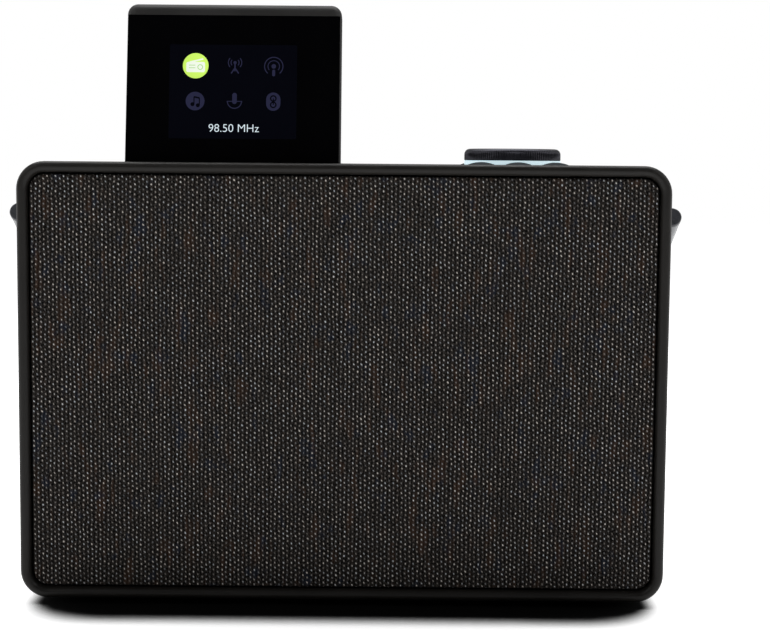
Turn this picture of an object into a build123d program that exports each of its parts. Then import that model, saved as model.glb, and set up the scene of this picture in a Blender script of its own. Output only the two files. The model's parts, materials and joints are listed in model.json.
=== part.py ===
from build123d import *
import os
from math import cos, radians, sin, sqrt

# Tabletop radio with a fold-down colour display, a control dial, a carry bail and a rod aerial.
# Millimetres.  +X is to the listener's right, -Y is the front, +Z is up.
# The origin is on the table, at the middle of the whole radio's footprint box.
# A "depth" is counted backward from the crest of the front bezel.

os.makedirs("parts", exist_ok=True)

# ---- driving dimensions ------------------------------------------------------------------

# cabinet
body_width = 240.0
body_height = 162.5
body_depth = 94.0
rear_cover_depth = 10.0
corner_radius = 10.3
wall = 3.0
bezel_width = 4.0
rear_edge_radius = 5.0
rear_plate = 4.0
foot_height = 2.5
foot_radius = 8.0
foot_recess = 1.0
foot_inset = 25.0

# general fits
panel_gap = 0.6
part_gap = 0.3
screw_fit = 0.02
running_fit = 0.05

# front grille
grille_recess = 2.0
fabric_thickness = 0.8
fabric_skirt = 3.0
grille_plate = 2.5
grille_rib = 5.0
grille_ring = 7.0
peg_radius = 3.0
peg_inset = 28.0
baffle_depth = 11.0
baffle_thickness = 3.0

# drivers
driver_x = 58.0
driver_z = 78.0
driver_radius = 33.0
driver_flange = 2.0
driver_opening = 28.0
surround_outer = 27.0
surround_inner = 21.5
surround_thickness = 0.6
cone_thickness = 0.5
cone_drop = 9.0
dust_cap_radius = 9.0
magnet_radius = 22.0
magnet_length = 14.0
basket_length = 17.0
basket_sheet = 1.2

# screws and posts
screw_radius = 1.5
screw_head_radius = 2.8
screw_head_height = 1.8
screw_length = 10.0
post_radius = 4.5
post_low = 18.0
post_high = 126.0
small_screw_radius = 1.0
small_head_radius = 1.9
small_head_height = 1.2
small_screw_length = 5.0

# display
display_width = 80.4
display_x = -42.0
display_reach = 64.4
display_thickness = 9.6
display_lean = 10.0
display_axis_depth = 15.5
display_wall = 1.6
display_corner = 4.0
display_lip = 4.75
display_lip_round = 3.5
display_back_round = 1.2
glass_side_margin = 0.5
glass_thickness = 1.2
glass_ledge = 1.0
lcd_side_margin = 9.1
lcd_end_margin = 4.8
lcd_thickness = 2.2
board_sheet = 1.6
display_pin_radius = 1.5
display_pin_grip = 6.0
display_pin_reach = 3.0
well_gap = 0.5
well_wall = 1.6
well_floor_gap = 0.8
well_ear_radius = 4.2
well_ear_width = 2.0

# dial and buttons
dial_x = 64.4
dial_depth = 43.0
dial_radius = 18.7
dial_cap_height = 4.55
dial_cap_round = 2.2
dial_ring_height = 1.9
dial_ring_band = 5.0
dial_recess = 1.2
dial_press = 0.6
shaft_radius = 3.0
encoder_neck = 4.5
encoder_size = 12.0
button_radius = 5.0
button_pitch = 13.8
button_front_depth = 12.0
button_rear_depth = 74.0
button_dome = 1.0
button_side_gap = 0.2
button_flange = 1.0
button_flange_lip = 0.6
button_stem_radius = 3.5
button_travel = 0.7
switch_size = 6.0
switch_height = 3.5

# handle
bar_radius = 3.6
handle_side_gap = 0.55
handle_end_depth = 24.5
handle_end_drop = 18.9
handle_rest_angle = 27.0
handle_pivot_run = 6.5
handle_rear_gap = 1.5
grip_radius = 4.5
grip_length = 118.0
handle_bend = 10.0
handle_cap = 2.0
handle_plug_radius = 1.6
handle_plug_length = 2.4
pivot_radius = 2.0
bush_wall = 1.2
bush_flange = 1.0
bush_collar = 0.35
bush_length = 5.5
boss_wall = 2.0
pivot_head_radius = 4.2
pivot_head_length = 1.6
pivot_sink = 5.0

# rod aerial
aerial_x = 100.0
aerial_lie = 3.4
aerial_radii = [3.0, 2.6, 2.2, 1.8]
aerial_wall = 0.3
aerial_length = 150.0
aerial_step = 3.0
aerial_stub = 6.4
aerial_tip_radius = 2.7
aerial_tip_length = 6.0
swivel_radius = 5.0
tongue_thickness = 2.4
tongue_radius = 1.8
elbow_radius = 1.1
stud_radius = 1.5
stud_end = 1.0
clip_height = 1.2
clip_radius = 2.8
clip_gap = 0.2
channel_wall = 3.0
channel_drop = 12.0
channel_gap = 3.0
notch_gap = 0.6

# rear panel
battery_x = -35.0
battery_z = 57.5
battery_width = 85.0
battery_height = 50.0
battery_depth = 27.0
battery_gap = 0.5
compartment_wall = 2.0
door_lip = 2.2
door_thickness = 2.2
door_grip_radius = 5.0
socket_pocket_x = 67.5
socket_pocket_z = 42.0
socket_pocket_width = 65.0
socket_pocket_height = 32.0
socket_pocket_depth = 5.0
socket_floor = 2.5
socket_pitch = 15.0
socket_body = 9.0
nose_radius = 3.0
jack_radius = 1.8
jack_depth = 14.0
dc_nose_radius = 4.2
dc_bore_radius = 2.8
dc_pin_radius = 1.05
dc_bore_depth = 9.5
usb_width = 9.0
usb_height = 3.2
usb_depth = 7.0
port_x = -40.0
port_z = 131.0
port_radius = 12.0
port_wall = 2.0
port_length = 42.0

# circuit boards
main_board_width = 74.0
main_board_height = 102.0
main_board_z = 67.0
main_board_depth = 74.0
standoff_radius = 3.0
board_edge = 4.0
tuner_width = 30.0
tuner_height = 24.0
tuner_depth = 5.5
sink_width = 40.0
sink_height = 24.0
sink_depth = 12.0
sink_base = 2.5
sink_fins = 7
fin_thickness = 1.6

# ---- places that follow from them --------------------------------------------------------

overall_depth = body_depth + handle_rear_gap + 2 * grip_radius
front = -overall_depth / 2
bottom = foot_height
top = foot_height + body_height
middle = foot_height + body_height / 2
shell_depth = body_depth - rear_cover_depth
bezel_radius = bezel_width / 2
grille_width = body_width - 2 * bezel_width - 2 * panel_gap
grille_height = body_height - 2 * bezel_width - 2 * panel_gap
grille_corner = corner_radius - bezel_width - panel_gap
frame_depth = grille_recess + fabric_thickness
baffle_back = baffle_depth + baffle_thickness
post_x = body_width / 2 - wall - post_radius + part_gap
display_axis_z = top - display_thickness / 2
well_front = display_axis_depth - display_thickness / 2 - well_gap
well_back = display_axis_depth + display_reach + well_gap
well_width = display_width + 2 * well_gap
well_floor = top - display_thickness - well_floor_gap
switch_top = top - wall - part_gap - button_flange - button_travel - 2 * part_gap
control_board_top = switch_top - switch_height
arm_x = body_width / 2 + handle_side_gap + bar_radius
grip_depth = body_depth + handle_rear_gap + grip_radius
arm_length = (grip_depth - handle_end_depth) / cos(radians(handle_rest_angle))
pivot_depth = handle_end_depth + handle_pivot_run * cos(radians(handle_rest_angle))
pivot_z = top - handle_end_drop - handle_pivot_run * sin(radians(handle_rest_angle))
channel_floor_depth = shell_depth + channel_wall
channel_bottom = top - channel_drop
aerial_depth = body_depth - aerial_lie
aerial_z = top - wall - clip_radius - clip_gap
aerial_root_x = aerial_x - aerial_stub
aerial_end_x = aerial_root_x - aerial_length - aerial_step * (len(aerial_radii) - 1)
channel_left = aerial_end_x - aerial_tip_length - channel_gap
channel_right = aerial_x + swivel_radius + channel_gap
compartment_width = battery_width + 2 * battery_gap
compartment_height = battery_height + 2 * battery_gap
compartment_front = body_depth - door_thickness - part_gap - battery_depth - 2 * battery_gap
door_width = compartment_width + 2 * compartment_wall + 2 * door_lip
door_height = compartment_height + 2 * compartment_wall + 2 * door_lip
pocket_floor = body_depth - socket_pocket_depth
board_back = main_board_depth + board_sheet
dial_floor = top - dial_recess


def y_at(depth):
    """World Y of a depth behind the bezel's crest."""
    return front + depth


def block(x, depth, z, width, length, height):
    """A box by its middle in X, its front depth and its lowest Z."""
    return Pos(x, y_at(depth) + length / 2, z + height / 2) * Box(width, length, height)


def slab(width, height, radius, depth, length, x=0.0, z=middle):
    """A rounded rectangle that faces the front and runs backward from a depth."""
    outline = Plane.XZ * RectangleRounded(width, height, radius)
    return Pos(x, y_at(depth), z) * extrude(outline, -length)


def rod_y(x, depth, z, radius, length):
    """A round bar that runs backward from a depth."""
    return Pos(x, y_at(depth) + length / 2, z) * Rot(90, 0, 0) * Cylinder(radius, length)


def rod_z(x, depth, z, radius, length):
    """A round bar that runs up from a height."""
    return Pos(x, y_at(depth), z + length / 2) * Cylinder(radius, length)


def rod_x(x, depth, z, radius, length):
    """A round bar that runs to +X from a place."""
    return Pos(x + length / 2, y_at(depth), z) * Rot(0, 90, 0) * Cylinder(radius, length)


def facing_back(x, depth, z, shape):
    """Turns a shape made along local +Z so that it runs backward from a depth."""
    return Pos(x, y_at(depth), z) * Rot(-90, 0, 0) * shape


def turned(*points):
    """A solid of revolution about local Z from (radius, height) points."""
    return revolve(Plane.XZ * make_face(Polyline(*points, close=True)), Axis.Z)


def screw_back(x, depth, z, length=screw_length):
    """A pan screw whose head is at the front and whose thread runs backward."""
    head = rod_y(x, depth - screw_head_height, z, screw_head_radius, screw_head_height)
    return head + rod_y(x, depth, z, screw_radius, length)


def screw_front(x, depth, z, length=screw_length):
    """A pan screw whose head is at the back and whose thread runs forward."""
    head = rod_y(x, depth, z, screw_head_radius, screw_head_height)
    return head + rod_y(x, depth - length, z, screw_radius, length)


def edges_of_face_at(solid, axis, last=True):
    """The edges of the outermost face along an axis."""
    faces = solid.faces().sort_by(axis)
    return (faces[-1] if last else faces[0]).outer_wire().edges()


posts = [(side * post_x, z) for side in (-1, 1) for z in (post_low, post_high)]
button_places = {
    "front_left": (dial_x - button_pitch, button_front_depth),
    "front_middle": (dial_x, button_front_depth),
    "front_right": (dial_x + button_pitch, button_front_depth),
    "rear_left": (dial_x - button_pitch, button_rear_depth),
    "rear_middle": (dial_x, button_rear_depth),
    "rear_right": (dial_x + button_pitch, button_rear_depth),
}
feet_places = [
    (side * (body_width / 2 - foot_inset), depth)
    for side in (-1, 1)
    for depth in (foot_inset / 2 + foot_radius, shell_depth - foot_radius - bezel_width)
]
control_board_x = (dial_x - button_pitch - switch_size, dial_x + button_pitch + switch_size)
control_board_depth = (
    button_front_depth - switch_size / 2 - part_gap,
    button_rear_depth + switch_size / 2 + part_gap,
)
control_screws = [
    (x, depth)
    for x in (control_board_x[0] + 3, control_board_x[1] - 3)
    for depth in (dial_depth - dial_radius - 3, dial_depth + dial_radius + 3)
]
main_board_screws = [
    (socket_pocket_x + sx * (main_board_width / 2 - board_edge),
     main_board_z + sz * (main_board_height / 2 - board_edge))
    for sx in (-1, 1)
    for sz in (-1, 1)
]
socket_xs = [socket_pocket_x + (i - 1.5) * socket_pitch for i in range(4)]


# ---- cabinet -----------------------------------------------------------------------------

def cabinet_shell():
    shell = slab(body_width, body_height, corner_radius, 0, shell_depth)
    mouth = slab(
        body_width - 2 * bezel_width,
        body_height - 2 * bezel_width,
        corner_radius - bezel_width,
        -1,
        baffle_back + 1,
    )
    room = slab(
        body_width - 2 * wall,
        body_height - 2 * wall,
        corner_radius - wall,
        baffle_back,
        shell_depth,
    )
    shell = shell - mouth - room
    front_edges = [
        e for e in shell.edges() if abs(e.center().Y - front) < 1e-4 and e.bounding_box().size.Y < 1e-4
    ]
    shell = fillet(front_edges, bezel_radius - 0.02)
    for x, z in posts:
        shell += rod_y(x, baffle_back, z, post_radius, shell_depth - baffle_back) & slab(
            body_width - wall, body_height - wall, corner_radius, baffle_back, shell_depth - baffle_back
        )
    for x, z in posts:
        shell -= rod_y(x, baffle_back - 1, z, screw_radius + screw_fit, screw_length + 1)
        shell -= rod_y(x, shell_depth - screw_length, z, screw_radius + screw_fit, screw_length + 1)
    # opening for the display, and room for its well behind the bezel
    shell -= block(
        display_x,
        well_front - well_wall - part_gap,
        top - wall - bezel_width,
        well_width + 2 * (well_wall + well_ear_width + part_gap),
        baffle_back,
        bezel_width,
    )
    shell -= block(
        display_x, well_front, top - 2 * wall, well_width, well_back - well_front, 3 * wall
    )
    shell -= rod_x(
        display_x - well_width,
        display_axis_depth,
        display_axis_z,
        display_pin_radius + 2 * running_fit,
        2 * well_width,
    )
    # dial recess and the encoder's neck
    shell -= rod_z(dial_x, dial_depth, dial_floor, dial_radius + panel_gap, wall)
    shell -= rod_z(dial_x, dial_depth, top - 2 * wall, encoder_neck + part_gap, 3 * wall)
    for x, depth in button_places.values():
        shell -= rod_z(x, depth, top - 2 * wall, button_radius + button_side_gap, 3 * wall)
        shell -= rod_z(
            x,
            depth,
            top - 2 * wall,
            button_radius + button_flange_lip + button_side_gap,
            wall,
        )
    # standoffs for the control board
    for x, depth in control_screws:
        standoff = rod_z(x, depth, control_board_top, standoff_radius, top - control_board_top - wall / 2)
        hole = rod_z(
            x, depth, control_board_top - 1, small_screw_radius + screw_fit, small_screw_length + 1
        )
        shell = shell + standoff - hole
    # handle pivots
    for side in (-1, 1):
        boss_length = bush_length - wall / 2
        boss_x = side * (body_width / 2 - bush_length + boss_length / 2)
        boss = Pos(boss_x, y_at(pivot_depth), pivot_z) * Rot(0, 90, 0)
        boss = boss * Cylinder(pivot_radius + bush_wall + boss_wall, boss_length)
        hole = Pos(side * body_width / 2, y_at(pivot_depth), pivot_z) * Rot(0, 90, 0)
        hole = hole * Cylinder(pivot_radius + running_fit + bush_wall + screw_fit, 4 * bush_length)
        collar = Pos(side * body_width / 2, y_at(pivot_depth), pivot_z) * Rot(0, 90, 0)
        collar = collar * Cylinder(pivot_radius + bush_wall + bush_flange + screw_fit, 2 * bush_collar)
        shell = shell + boss - hole - collar
    for x, depth in feet_places:
        shell -= rod_z(x, depth, bottom - 1, foot_radius + screw_fit, foot_recess + 1)
    return shell


def rear_cover():
    cover = slab(body_width, body_height, corner_radius, shell_depth, rear_cover_depth)
    cover = fillet(edges_of_face_at(cover, Axis.Y), rear_edge_radius)
    hollow_top = channel_bottom - channel_wall
    hollow = block(
        0,
        shell_depth - 1,
        bottom + wall,
        body_width - 2 * wall,
        body_depth - rear_plate - shell_depth + 1,
        hollow_top - bottom - wall,
    )
    hollow &= slab(
        body_width - 2 * wall,
        body_height - 2 * wall,
        corner_radius - wall,
        shell_depth - 1,
        rear_cover_depth,
    )
    cover -= hollow
    # posts that take the cover screws
    plate_face = body_depth - rear_plate
    for x, z in posts:
        boss = rod_y(x, shell_depth, z, post_radius, rear_plate + rear_cover_depth - rear_plate - 1)
        cover += boss & slab(
            body_width - wall, body_height - wall, corner_radius, shell_depth, rear_cover_depth
        )
    for x, z in posts:
        cover -= rod_y(x, shell_depth - 1, z, screw_radius + screw_fit, rear_cover_depth + 2)
        cover -= rod_y(
            x, body_depth - 2 * screw_head_height, z, screw_head_radius + part_gap, 3 * screw_head_height
        )
    # battery compartment
    outer_width = compartment_width + 2 * compartment_wall
    outer_height = compartment_height + 2 * compartment_wall
    case_front = compartment_front - compartment_wall
    cover += block(
        battery_x,
        case_front,
        battery_z - outer_height / 2,
        outer_width,
        plate_face - case_front,
        outer_height,
    )
    cover -= block(
        battery_x,
        compartment_front,
        battery_z - compartment_height / 2,
        compartment_width,
        body_depth,
        compartment_height,
    )
    cover -= slab(
        door_width + 2 * part_gap,
        door_height + 2 * part_gap,
        door_lip,
        body_depth - door_thickness - part_gap,
        body_depth,
        battery_x,
        battery_z,
    )
    # connector pocket
    cover += block(
        socket_pocket_x,
        pocket_floor - socket_floor,
        socket_pocket_z - socket_pocket_height / 2 - socket_floor,
        socket_pocket_width + 2 * socket_floor,
        socket_floor + 1,
        socket_pocket_height + 2 * socket_floor,
    )
    cover -= slab(
        socket_pocket_width,
        socket_pocket_height,
        door_lip,
        pocket_floor,
        body_depth,
        socket_pocket_x,
        socket_pocket_z,
    )
    noses = [dc_nose_radius, nose_radius, nose_radius]
    for x, radius in zip(socket_xs, noses):
        cover -= rod_y(x, main_board_depth, socket_pocket_z, radius + part_gap, body_depth)
    cover -= block(
        socket_xs[3],
        shell_depth,
        socket_pocket_z - usb_height / 2 - part_gap,
        usb_width + 2 * part_gap,
        body_depth,
        usb_height + 2 * part_gap,
    )
    # standoffs for the main board
    for x, z in main_board_screws:
        cover += rod_y(x, board_back, z, standoff_radius, plate_face - board_back + 1)
        cover -= rod_y(
            x, board_back - 1, z, small_screw_radius + screw_fit, small_screw_length + 1
        )
    # aerial channel, open at the top and the back
    cover -= block(
        (channel_left + channel_right) / 2,
        channel_floor_depth,
        channel_bottom,
        channel_right - channel_left,
        body_depth,
        2 * channel_drop,
    )
    # narrower notch on to the left side, so that the lying aerial can be drawn out
    notch = aerial_radii[0] + notch_gap
    cover -= block(
        channel_left - body_width / 2,
        aerial_depth - notch,
        aerial_z - notch,
        body_width + 1,
        body_depth,
        2 * notch,
    )
    cover -= rod_y(
        aerial_x, shell_depth - 1, aerial_z, stud_radius + running_fit, rear_cover_depth
    )
    # bass port
    cover -= rod_y(port_x, shell_depth - 1, port_z, port_radius + port_wall + screw_fit, body_depth)
    return cover


def feet():
    pads = []
    for x, depth in feet_places:
        pad = rod_z(x, depth, 0, foot_radius, foot_height + foot_recess)
        pads.append(fillet(edges_of_face_at(pad, Axis.Z, last=False), foot_height / 3))
    return pads


def rear_screws():
    seat = body_depth - 2 * screw_head_height
    return [screw_front(x, seat, z, seat - shell_depth + screw_length - 1) for x, z in posts]


# ---- front grille and baffle -------------------------------------------------------------

def grille_fabric():
    depth = fabric_thickness + fabric_skirt
    cloth = slab(grille_width, grille_height, grille_corner, grille_recess, depth)
    cloth = fillet(edges_of_face_at(cloth, Axis.Y, last=False), fabric_thickness)
    inside = slab(
        grille_width - 2 * fabric_thickness,
        grille_height - 2 * fabric_thickness,
        grille_corner - fabric_thickness,
        frame_depth,
        depth,
    )
    return cloth - inside


def grille_frame():
    width = grille_width - 2 * fabric_thickness
    height = grille_height - 2 * fabric_thickness
    length = well_front - well_wall - part_gap - frame_depth
    frame = slab(width, height, grille_corner - fabric_thickness, frame_depth, length)
    frame -= slab(
        width - 2 * grille_ring,
        height - 2 * grille_ring,
        grille_corner,
        frame_depth - 1,
        length + 2,
    )
    upright = block(
        0, frame_depth, middle - height / 2 + 1, grille_rib, grille_plate, height - 2
    )
    rails = [
        block(0, frame_depth, z - grille_rib / 2, width - 2, grille_plate, grille_rib)
        for z in (driver_z - driver_radius - grille_rib, driver_z + driver_radius + grille_rib)
    ]
    for piece in [upright, *rails]:
        frame += piece
    # pegs that stand the frame off the baffle
    side_x = width / 2 - grille_ring
    peg_length = baffle_depth - part_gap - frame_depth
    for x, z in [(-side_x, middle), (side_x, middle), (0, bottom + peg_inset), (0, top - peg_inset)]:
        frame += rod_y(x, frame_depth, z, peg_radius, peg_length)
    return frame


def speaker_baffle():
    plate = slab(
        body_width - 2 * bezel_width - 2 * part_gap,
        body_height - 2 * bezel_width - 2 * part_gap,
        corner_radius - bezel_width - part_gap,
        baffle_depth,
        baffle_thickness,
    )
    for side in (-1, 1):
        plate -= rod_y(side * driver_x, baffle_depth - 1, driver_z, driver_opening, baffle_thickness + 2)
        for x, z in driver_screw_places(side * driver_x):
            plate -= rod_y(x, baffle_depth - 1, z, small_screw_radius + screw_fit, baffle_thickness + 2)
    for x, z in posts:
        plate -= rod_y(x, baffle_depth - 1, z, screw_radius + screw_fit, baffle_thickness + 2)
    # clearance for the display well and for the control board
    plate -= block(
        display_x,
        baffle_depth - 1,
        well_floor - well_wall - part_gap,
        well_width + 2 * (well_wall + well_ear_width + part_gap),
        baffle_thickness + 2,
        body_height,
    )
    plate -= block(
        (control_board_x[0] + control_board_x[1]) / 2,
        baffle_depth - 1,
        control_board_top - board_sheet - part_gap,
        control_board_x[1] - control_board_x[0] + 2 * part_gap,
        baffle_thickness + 2,
        body_height,
    )
    return plate


def driver_screw_places(x):
    reach = (driver_radius + surround_outer) / 2 / sqrt(2)
    return [(x + sx * reach, driver_z + sz * reach) for sx in (-1, 1) for sz in (-1, 1)]


def driver_basket(x):
    flange_front = baffle_depth - driver_flange
    flange = turned(
        (surround_inner + 1, 0),
        (driver_radius, 0),
        (driver_radius, driver_flange),
        (driver_opening - 1, driver_flange),
        (driver_opening - 1, driver_flange + basket_sheet),
        (magnet_radius, basket_length),
        (dust_cap_radius, basket_length),
        (dust_cap_radius, basket_length - basket_sheet),
        (magnet_radius - 1, basket_length - basket_sheet),
        (surround_outer - 1, driver_flange),
        (surround_outer - 1, basket_sheet),
        (surround_inner + 1, basket_sheet),
    )
    basket = facing_back(x, flange_front, driver_z, flange)
    for turn in range(4):
        window = Pos(0, 0, basket_length / 2 + 1) * Rot(0, 0, 90 * turn) * Pos(surround_outer, 0, 0)
        window = window * Box(2 * dust_cap_radius, 1.4 * magnet_radius, basket_length - 3 * driver_flange)
        basket -= facing_back(x, flange_front, driver_z, window)
    for sx, sz in driver_screw_places(x):
        basket -= rod_y(sx, flange_front - 1, sz, small_screw_radius + screw_fit, driver_flange + 3)
    return basket


def driver_surround(x):
    rest_depth = baffle_depth - driver_flange
    crown = (surround_inner + surround_outer) / 2
    roll = (surround_outer - surround_inner) / 2 - surround_thickness
    section = Circle(roll + surround_thickness) - Circle(roll)
    section -= Pos(0, roll) * Rectangle(4 * roll, 2 * roll)
    section += Pos(roll + surround_thickness, surround_thickness / -2) * Rectangle(
        2 * surround_thickness, surround_thickness
    )
    ring = revolve(Plane.XZ * Pos(crown, 0) * section, Axis.Z)
    return facing_back(x, rest_depth, driver_z, ring)


def driver_cone(x):
    rest_depth = baffle_depth - driver_flange
    outer = surround_inner - screw_fit
    dome_rise = dust_cap_radius / 3
    dome_radius = (dust_cap_radius**2 + dome_rise**2) / (2 * dome_rise)
    paper = turned(
        (outer, -cone_thickness),
        (outer, 0),
        (surround_inner - 1, cone_thickness),
        (dust_cap_radius, cone_drop + cone_thickness),
        (dust_cap_radius - cone_thickness, cone_drop + cone_thickness),
        (dust_cap_radius - cone_thickness, cone_drop),
        (surround_inner - 1 - cone_thickness, -cone_thickness),
    )
    ball = Pos(0, 0, cone_drop - dome_rise + dome_radius)
    cap = ball * Sphere(dome_radius) - ball * Sphere(dome_radius - cone_thickness)
    cap &= Pos(0, 0, cone_drop - dome_rise) * Cylinder(
        dust_cap_radius, 2 * dome_rise, align=(Align.CENTER, Align.CENTER, Align.CENTER)
    )
    return facing_back(x, rest_depth, driver_z, paper + cap)


def driver_magnet(x):
    back = baffle_depth - driver_flange + basket_length
    ring = rod_y(x, back, driver_z, magnet_radius, magnet_length)
    ring -= rod_y(x, back - 1, driver_z, dust_cap_radius + 1, magnet_length - 4)
    pole = rod_y(x, back - 3, driver_z, dust_cap_radius - 1.5, magnet_length)
    magnet = ring + pole
    return fillet(edges_of_face_at(magnet, Axis.Y), 1.0)


def driver_screws():
    screws = []
    for side in (-1, 1):
        for x, z in driver_screw_places(side * driver_x):
            seat = baffle_depth - driver_flange
            head = rod_y(x, seat - small_head_height, z, small_head_radius, small_head_height)
            screws.append(head + rod_y(x, seat, z, small_screw_radius, driver_flange + baffle_thickness))
    return screws


def inner_screws():
    screws = [screw_back(x, baffle_depth, z) for x, z in posts]
    for x, depth in control_screws:
        low = control_board_top - board_sheet
        head = rod_z(x, depth, low - small_head_height, small_head_radius, small_head_height)
        screws.append(head + rod_z(x, depth, low, small_screw_radius, small_screw_length))
    for x, z in main_board_screws:
        head = rod_y(
            x, main_board_depth - small_head_height, z, small_head_radius, small_head_height
        )
        screws.append(head + rod_y(x, main_board_depth, z, small_screw_radius, small_screw_length))
    return screws


# ---- display -----------------------------------------------------------------------------

def upright(shape):
    """Places a display piece: local X is width, local Y runs to the free end, local Z to the glass."""
    return Pos(display_x, y_at(display_axis_depth), display_axis_z) * Rot(90 - display_lean, 0, 0) * shape


def panel(width, start, end, low, high, x=0.0):
    return Pos(x, (start + end) / 2, (low + high) / 2) * Box(width, end - start, high - low)


half_thick = display_thickness / 2
glass_width = display_width - 2 * glass_side_margin
glass_start = 1.0
glass_end = display_reach - display_lip
pocket_top = half_thick - glass_thickness
pocket_start = half_thick + display_wall
pocket_end = glass_end - display_wall
pocket_width = display_width - 2 * (display_wall + glass_ledge)
lcd_front = pocket_top - 0.1


def display_housing():
    body = panel(display_width, 0, display_reach, -half_thick, half_thick)
    corners = body.edges().filter_by(Axis.Z).sort_by(Axis.Y)[-2:]
    body = fillet(corners, display_corner)
    tip = body.edges().filter_by(Axis.X).sort_by(Axis.Y)[-2:].sort_by(Axis.Z)
    body = fillet(tip[-1], display_lip_round)
    back_edges = body.edges().filter_by(Axis.X).group_by(Axis.Z)[0]
    body = fillet(back_edges.sort_by(Axis.Y)[-1], display_back_round)
    barrel = Rot(0, 90, 0) * Cylinder(half_thick, display_width)
    body += barrel & panel(display_width, -display_thickness, 1, -half_thick, half_thick)
    body -= panel(glass_width, glass_start, glass_end, pocket_top, half_thick + 1)
    body -= panel(
        pocket_width,
        pocket_start,
        pocket_end,
        -half_thick + display_wall,
        half_thick,
    )
    for side in (-1, 1):
        hole = Pos(side * (display_width / 2 - display_pin_grip / 2 + 1), 0, 0) * Rot(0, 90, 0)
        body -= hole * Cylinder(display_pin_radius + screw_fit, display_pin_grip + 2)
    return upright(body)


def display_glass():
    gap = 0.05
    sheet = panel(
        glass_width - 2 * gap, glass_start + gap, glass_end - gap, pocket_top, half_thick
    )
    return upright(sheet)


def lcd_panel():
    return upright(
        panel(
            pocket_width - 2 * lcd_side_margin,
            pocket_start + lcd_end_margin,
            pocket_end - lcd_end_margin,
            lcd_front - lcd_thickness,
            lcd_front,
        )
    )


def display_board():
    board_front = lcd_front - lcd_thickness - 0.1
    board = panel(
        pocket_width - 2 * part_gap,
        pocket_start + part_gap,
        pocket_end - part_gap,
        board_front - board_sheet,
        board_front,
    )
    return upright(board)


def display_hinge_pins():
    pins = []
    length = display_pin_grip + well_gap + display_pin_reach
    for side in (-1, 1):
        centre = side * (display_width / 2 - display_pin_grip + length / 2)
        pins.append(upright(Pos(centre, 0, 0) * Rot(0, 90, 0) * Cylinder(display_pin_radius, length)))
    return pins


def display_well():
    outer_width = well_width + 2 * well_wall
    length = well_back - well_front + 2 * well_wall
    under = top - wall
    tray = block(
        display_x,
        well_front - well_wall,
        well_floor - well_wall,
        outer_width,
        length,
        under - well_floor + well_wall,
    )
    for side in (-1, 1):
        ear_x = display_x + side * (outer_width / 2 + well_ear_width / 2 - 0.5)
        ear = Pos(ear_x, y_at(display_axis_depth), display_axis_z) * Rot(0, 90, 0)
        ear = ear * Cylinder(well_ear_radius, well_ear_width + 1)
        tray += ear & block(ear_x, 0, well_floor - well_wall, 9, body_depth, under - well_floor + well_wall)
    tray -= block(display_x, well_front, well_floor, well_width, well_back - well_front, body_height)
    bore = Pos(display_x, y_at(display_axis_depth), display_axis_z) * Rot(0, 90, 0)
    tray -= bore * Cylinder(display_pin_radius + running_fit, 2 * outer_width)
    return tray


# ---- dial, buttons and their board -------------------------------------------------------

def dial_knob():
    low = top - dial_recess + dial_press + part_gap + dial_ring_height
    cap = rod_z(dial_x, dial_depth, low, dial_radius, dial_cap_height)
    cap = fillet(edges_of_face_at(cap, Axis.Z), dial_cap_round)
    bore = dial_cap_height - wall / 2
    cap -= rod_z(dial_x, dial_depth, low - 1, shaft_radius + running_fit, bore + 1)
    return cap


def dial_ring():
    low = top - dial_recess + dial_press + part_gap
    ring = rod_z(dial_x, dial_depth, low, dial_radius, dial_ring_height)
    ring -= rod_z(
        dial_x, dial_depth, low - 1, dial_radius - dial_ring_band, dial_ring_height + 2
    )
    return ring


def encoder_rotor():
    knob_low = top - dial_recess + dial_press + part_gap + dial_ring_height
    knob_bore = dial_cap_height - wall / 2
    shaft_top = knob_low + knob_bore - dial_press - part_gap
    shaft_low = control_board_top + 1.5
    return rod_z(dial_x, dial_depth, shaft_low, shaft_radius, shaft_top - shaft_low)


def encoder_body():
    height = top - wall - part_gap - control_board_top
    body = block(
        dial_x, dial_depth - encoder_size / 2, control_board_top, encoder_size, encoder_size, height
    )
    body += rod_z(dial_x, dial_depth, control_board_top, encoder_neck, dial_floor - control_board_top)
    body -= rod_z(dial_x, dial_depth, control_board_top + 1, shaft_radius + running_fit, body_height)
    return body


def button_cap(x, depth):
    under = top - wall
    dome_radius = (button_radius**2 + button_dome**2) / (2 * button_dome)
    body = rod_z(x, depth, under, button_radius, wall + button_dome)
    body &= Pos(x, y_at(depth), top + button_dome - dome_radius) * Sphere(dome_radius)
    low = switch_top + button_travel + part_gap
    lip_top = under - part_gap / 2
    lip_low = lip_top - button_flange
    stem = rod_z(x, depth, low, button_stem_radius, under - low + 1)
    neck = rod_z(x, depth, lip_low, button_radius, under - lip_low + 1)
    lip = rod_z(x, depth, lip_low, button_radius + button_flange_lip, button_flange)
    return body + stem + neck + lip


def button_switches():
    switches = []
    for x, depth in button_places.values():
        switches.append(
            block(
                x, depth - switch_size / 2, control_board_top, switch_size, switch_size, switch_height - 0.5
            )
            + rod_z(x, depth, control_board_top, switch_size / 4, switch_height)
        )
    return switches


def control_board():
    board = block(
        (control_board_x[0] + control_board_x[1]) / 2,
        control_board_depth[0],
        control_board_top - board_sheet,
        control_board_x[1] - control_board_x[0],
        control_board_depth[1] - control_board_depth[0],
        board_sheet,
    )
    for x, depth in control_screws:
        board -= rod_z(
            x, depth, control_board_top - 2 * board_sheet, small_screw_radius + screw_fit, 3 * board_sheet
        )
    return board


# ---- rear electronics --------------------------------------------------------------------

def main_board():
    board = block(
        socket_pocket_x,
        main_board_depth,
        main_board_z - main_board_height / 2,
        main_board_width,
        board_sheet,
        main_board_height,
    )
    for x, z in main_board_screws:
        board -= rod_y(x, main_board_depth - 1, z, small_screw_radius + screw_fit, 2 * board_sheet)
    return board


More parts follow.
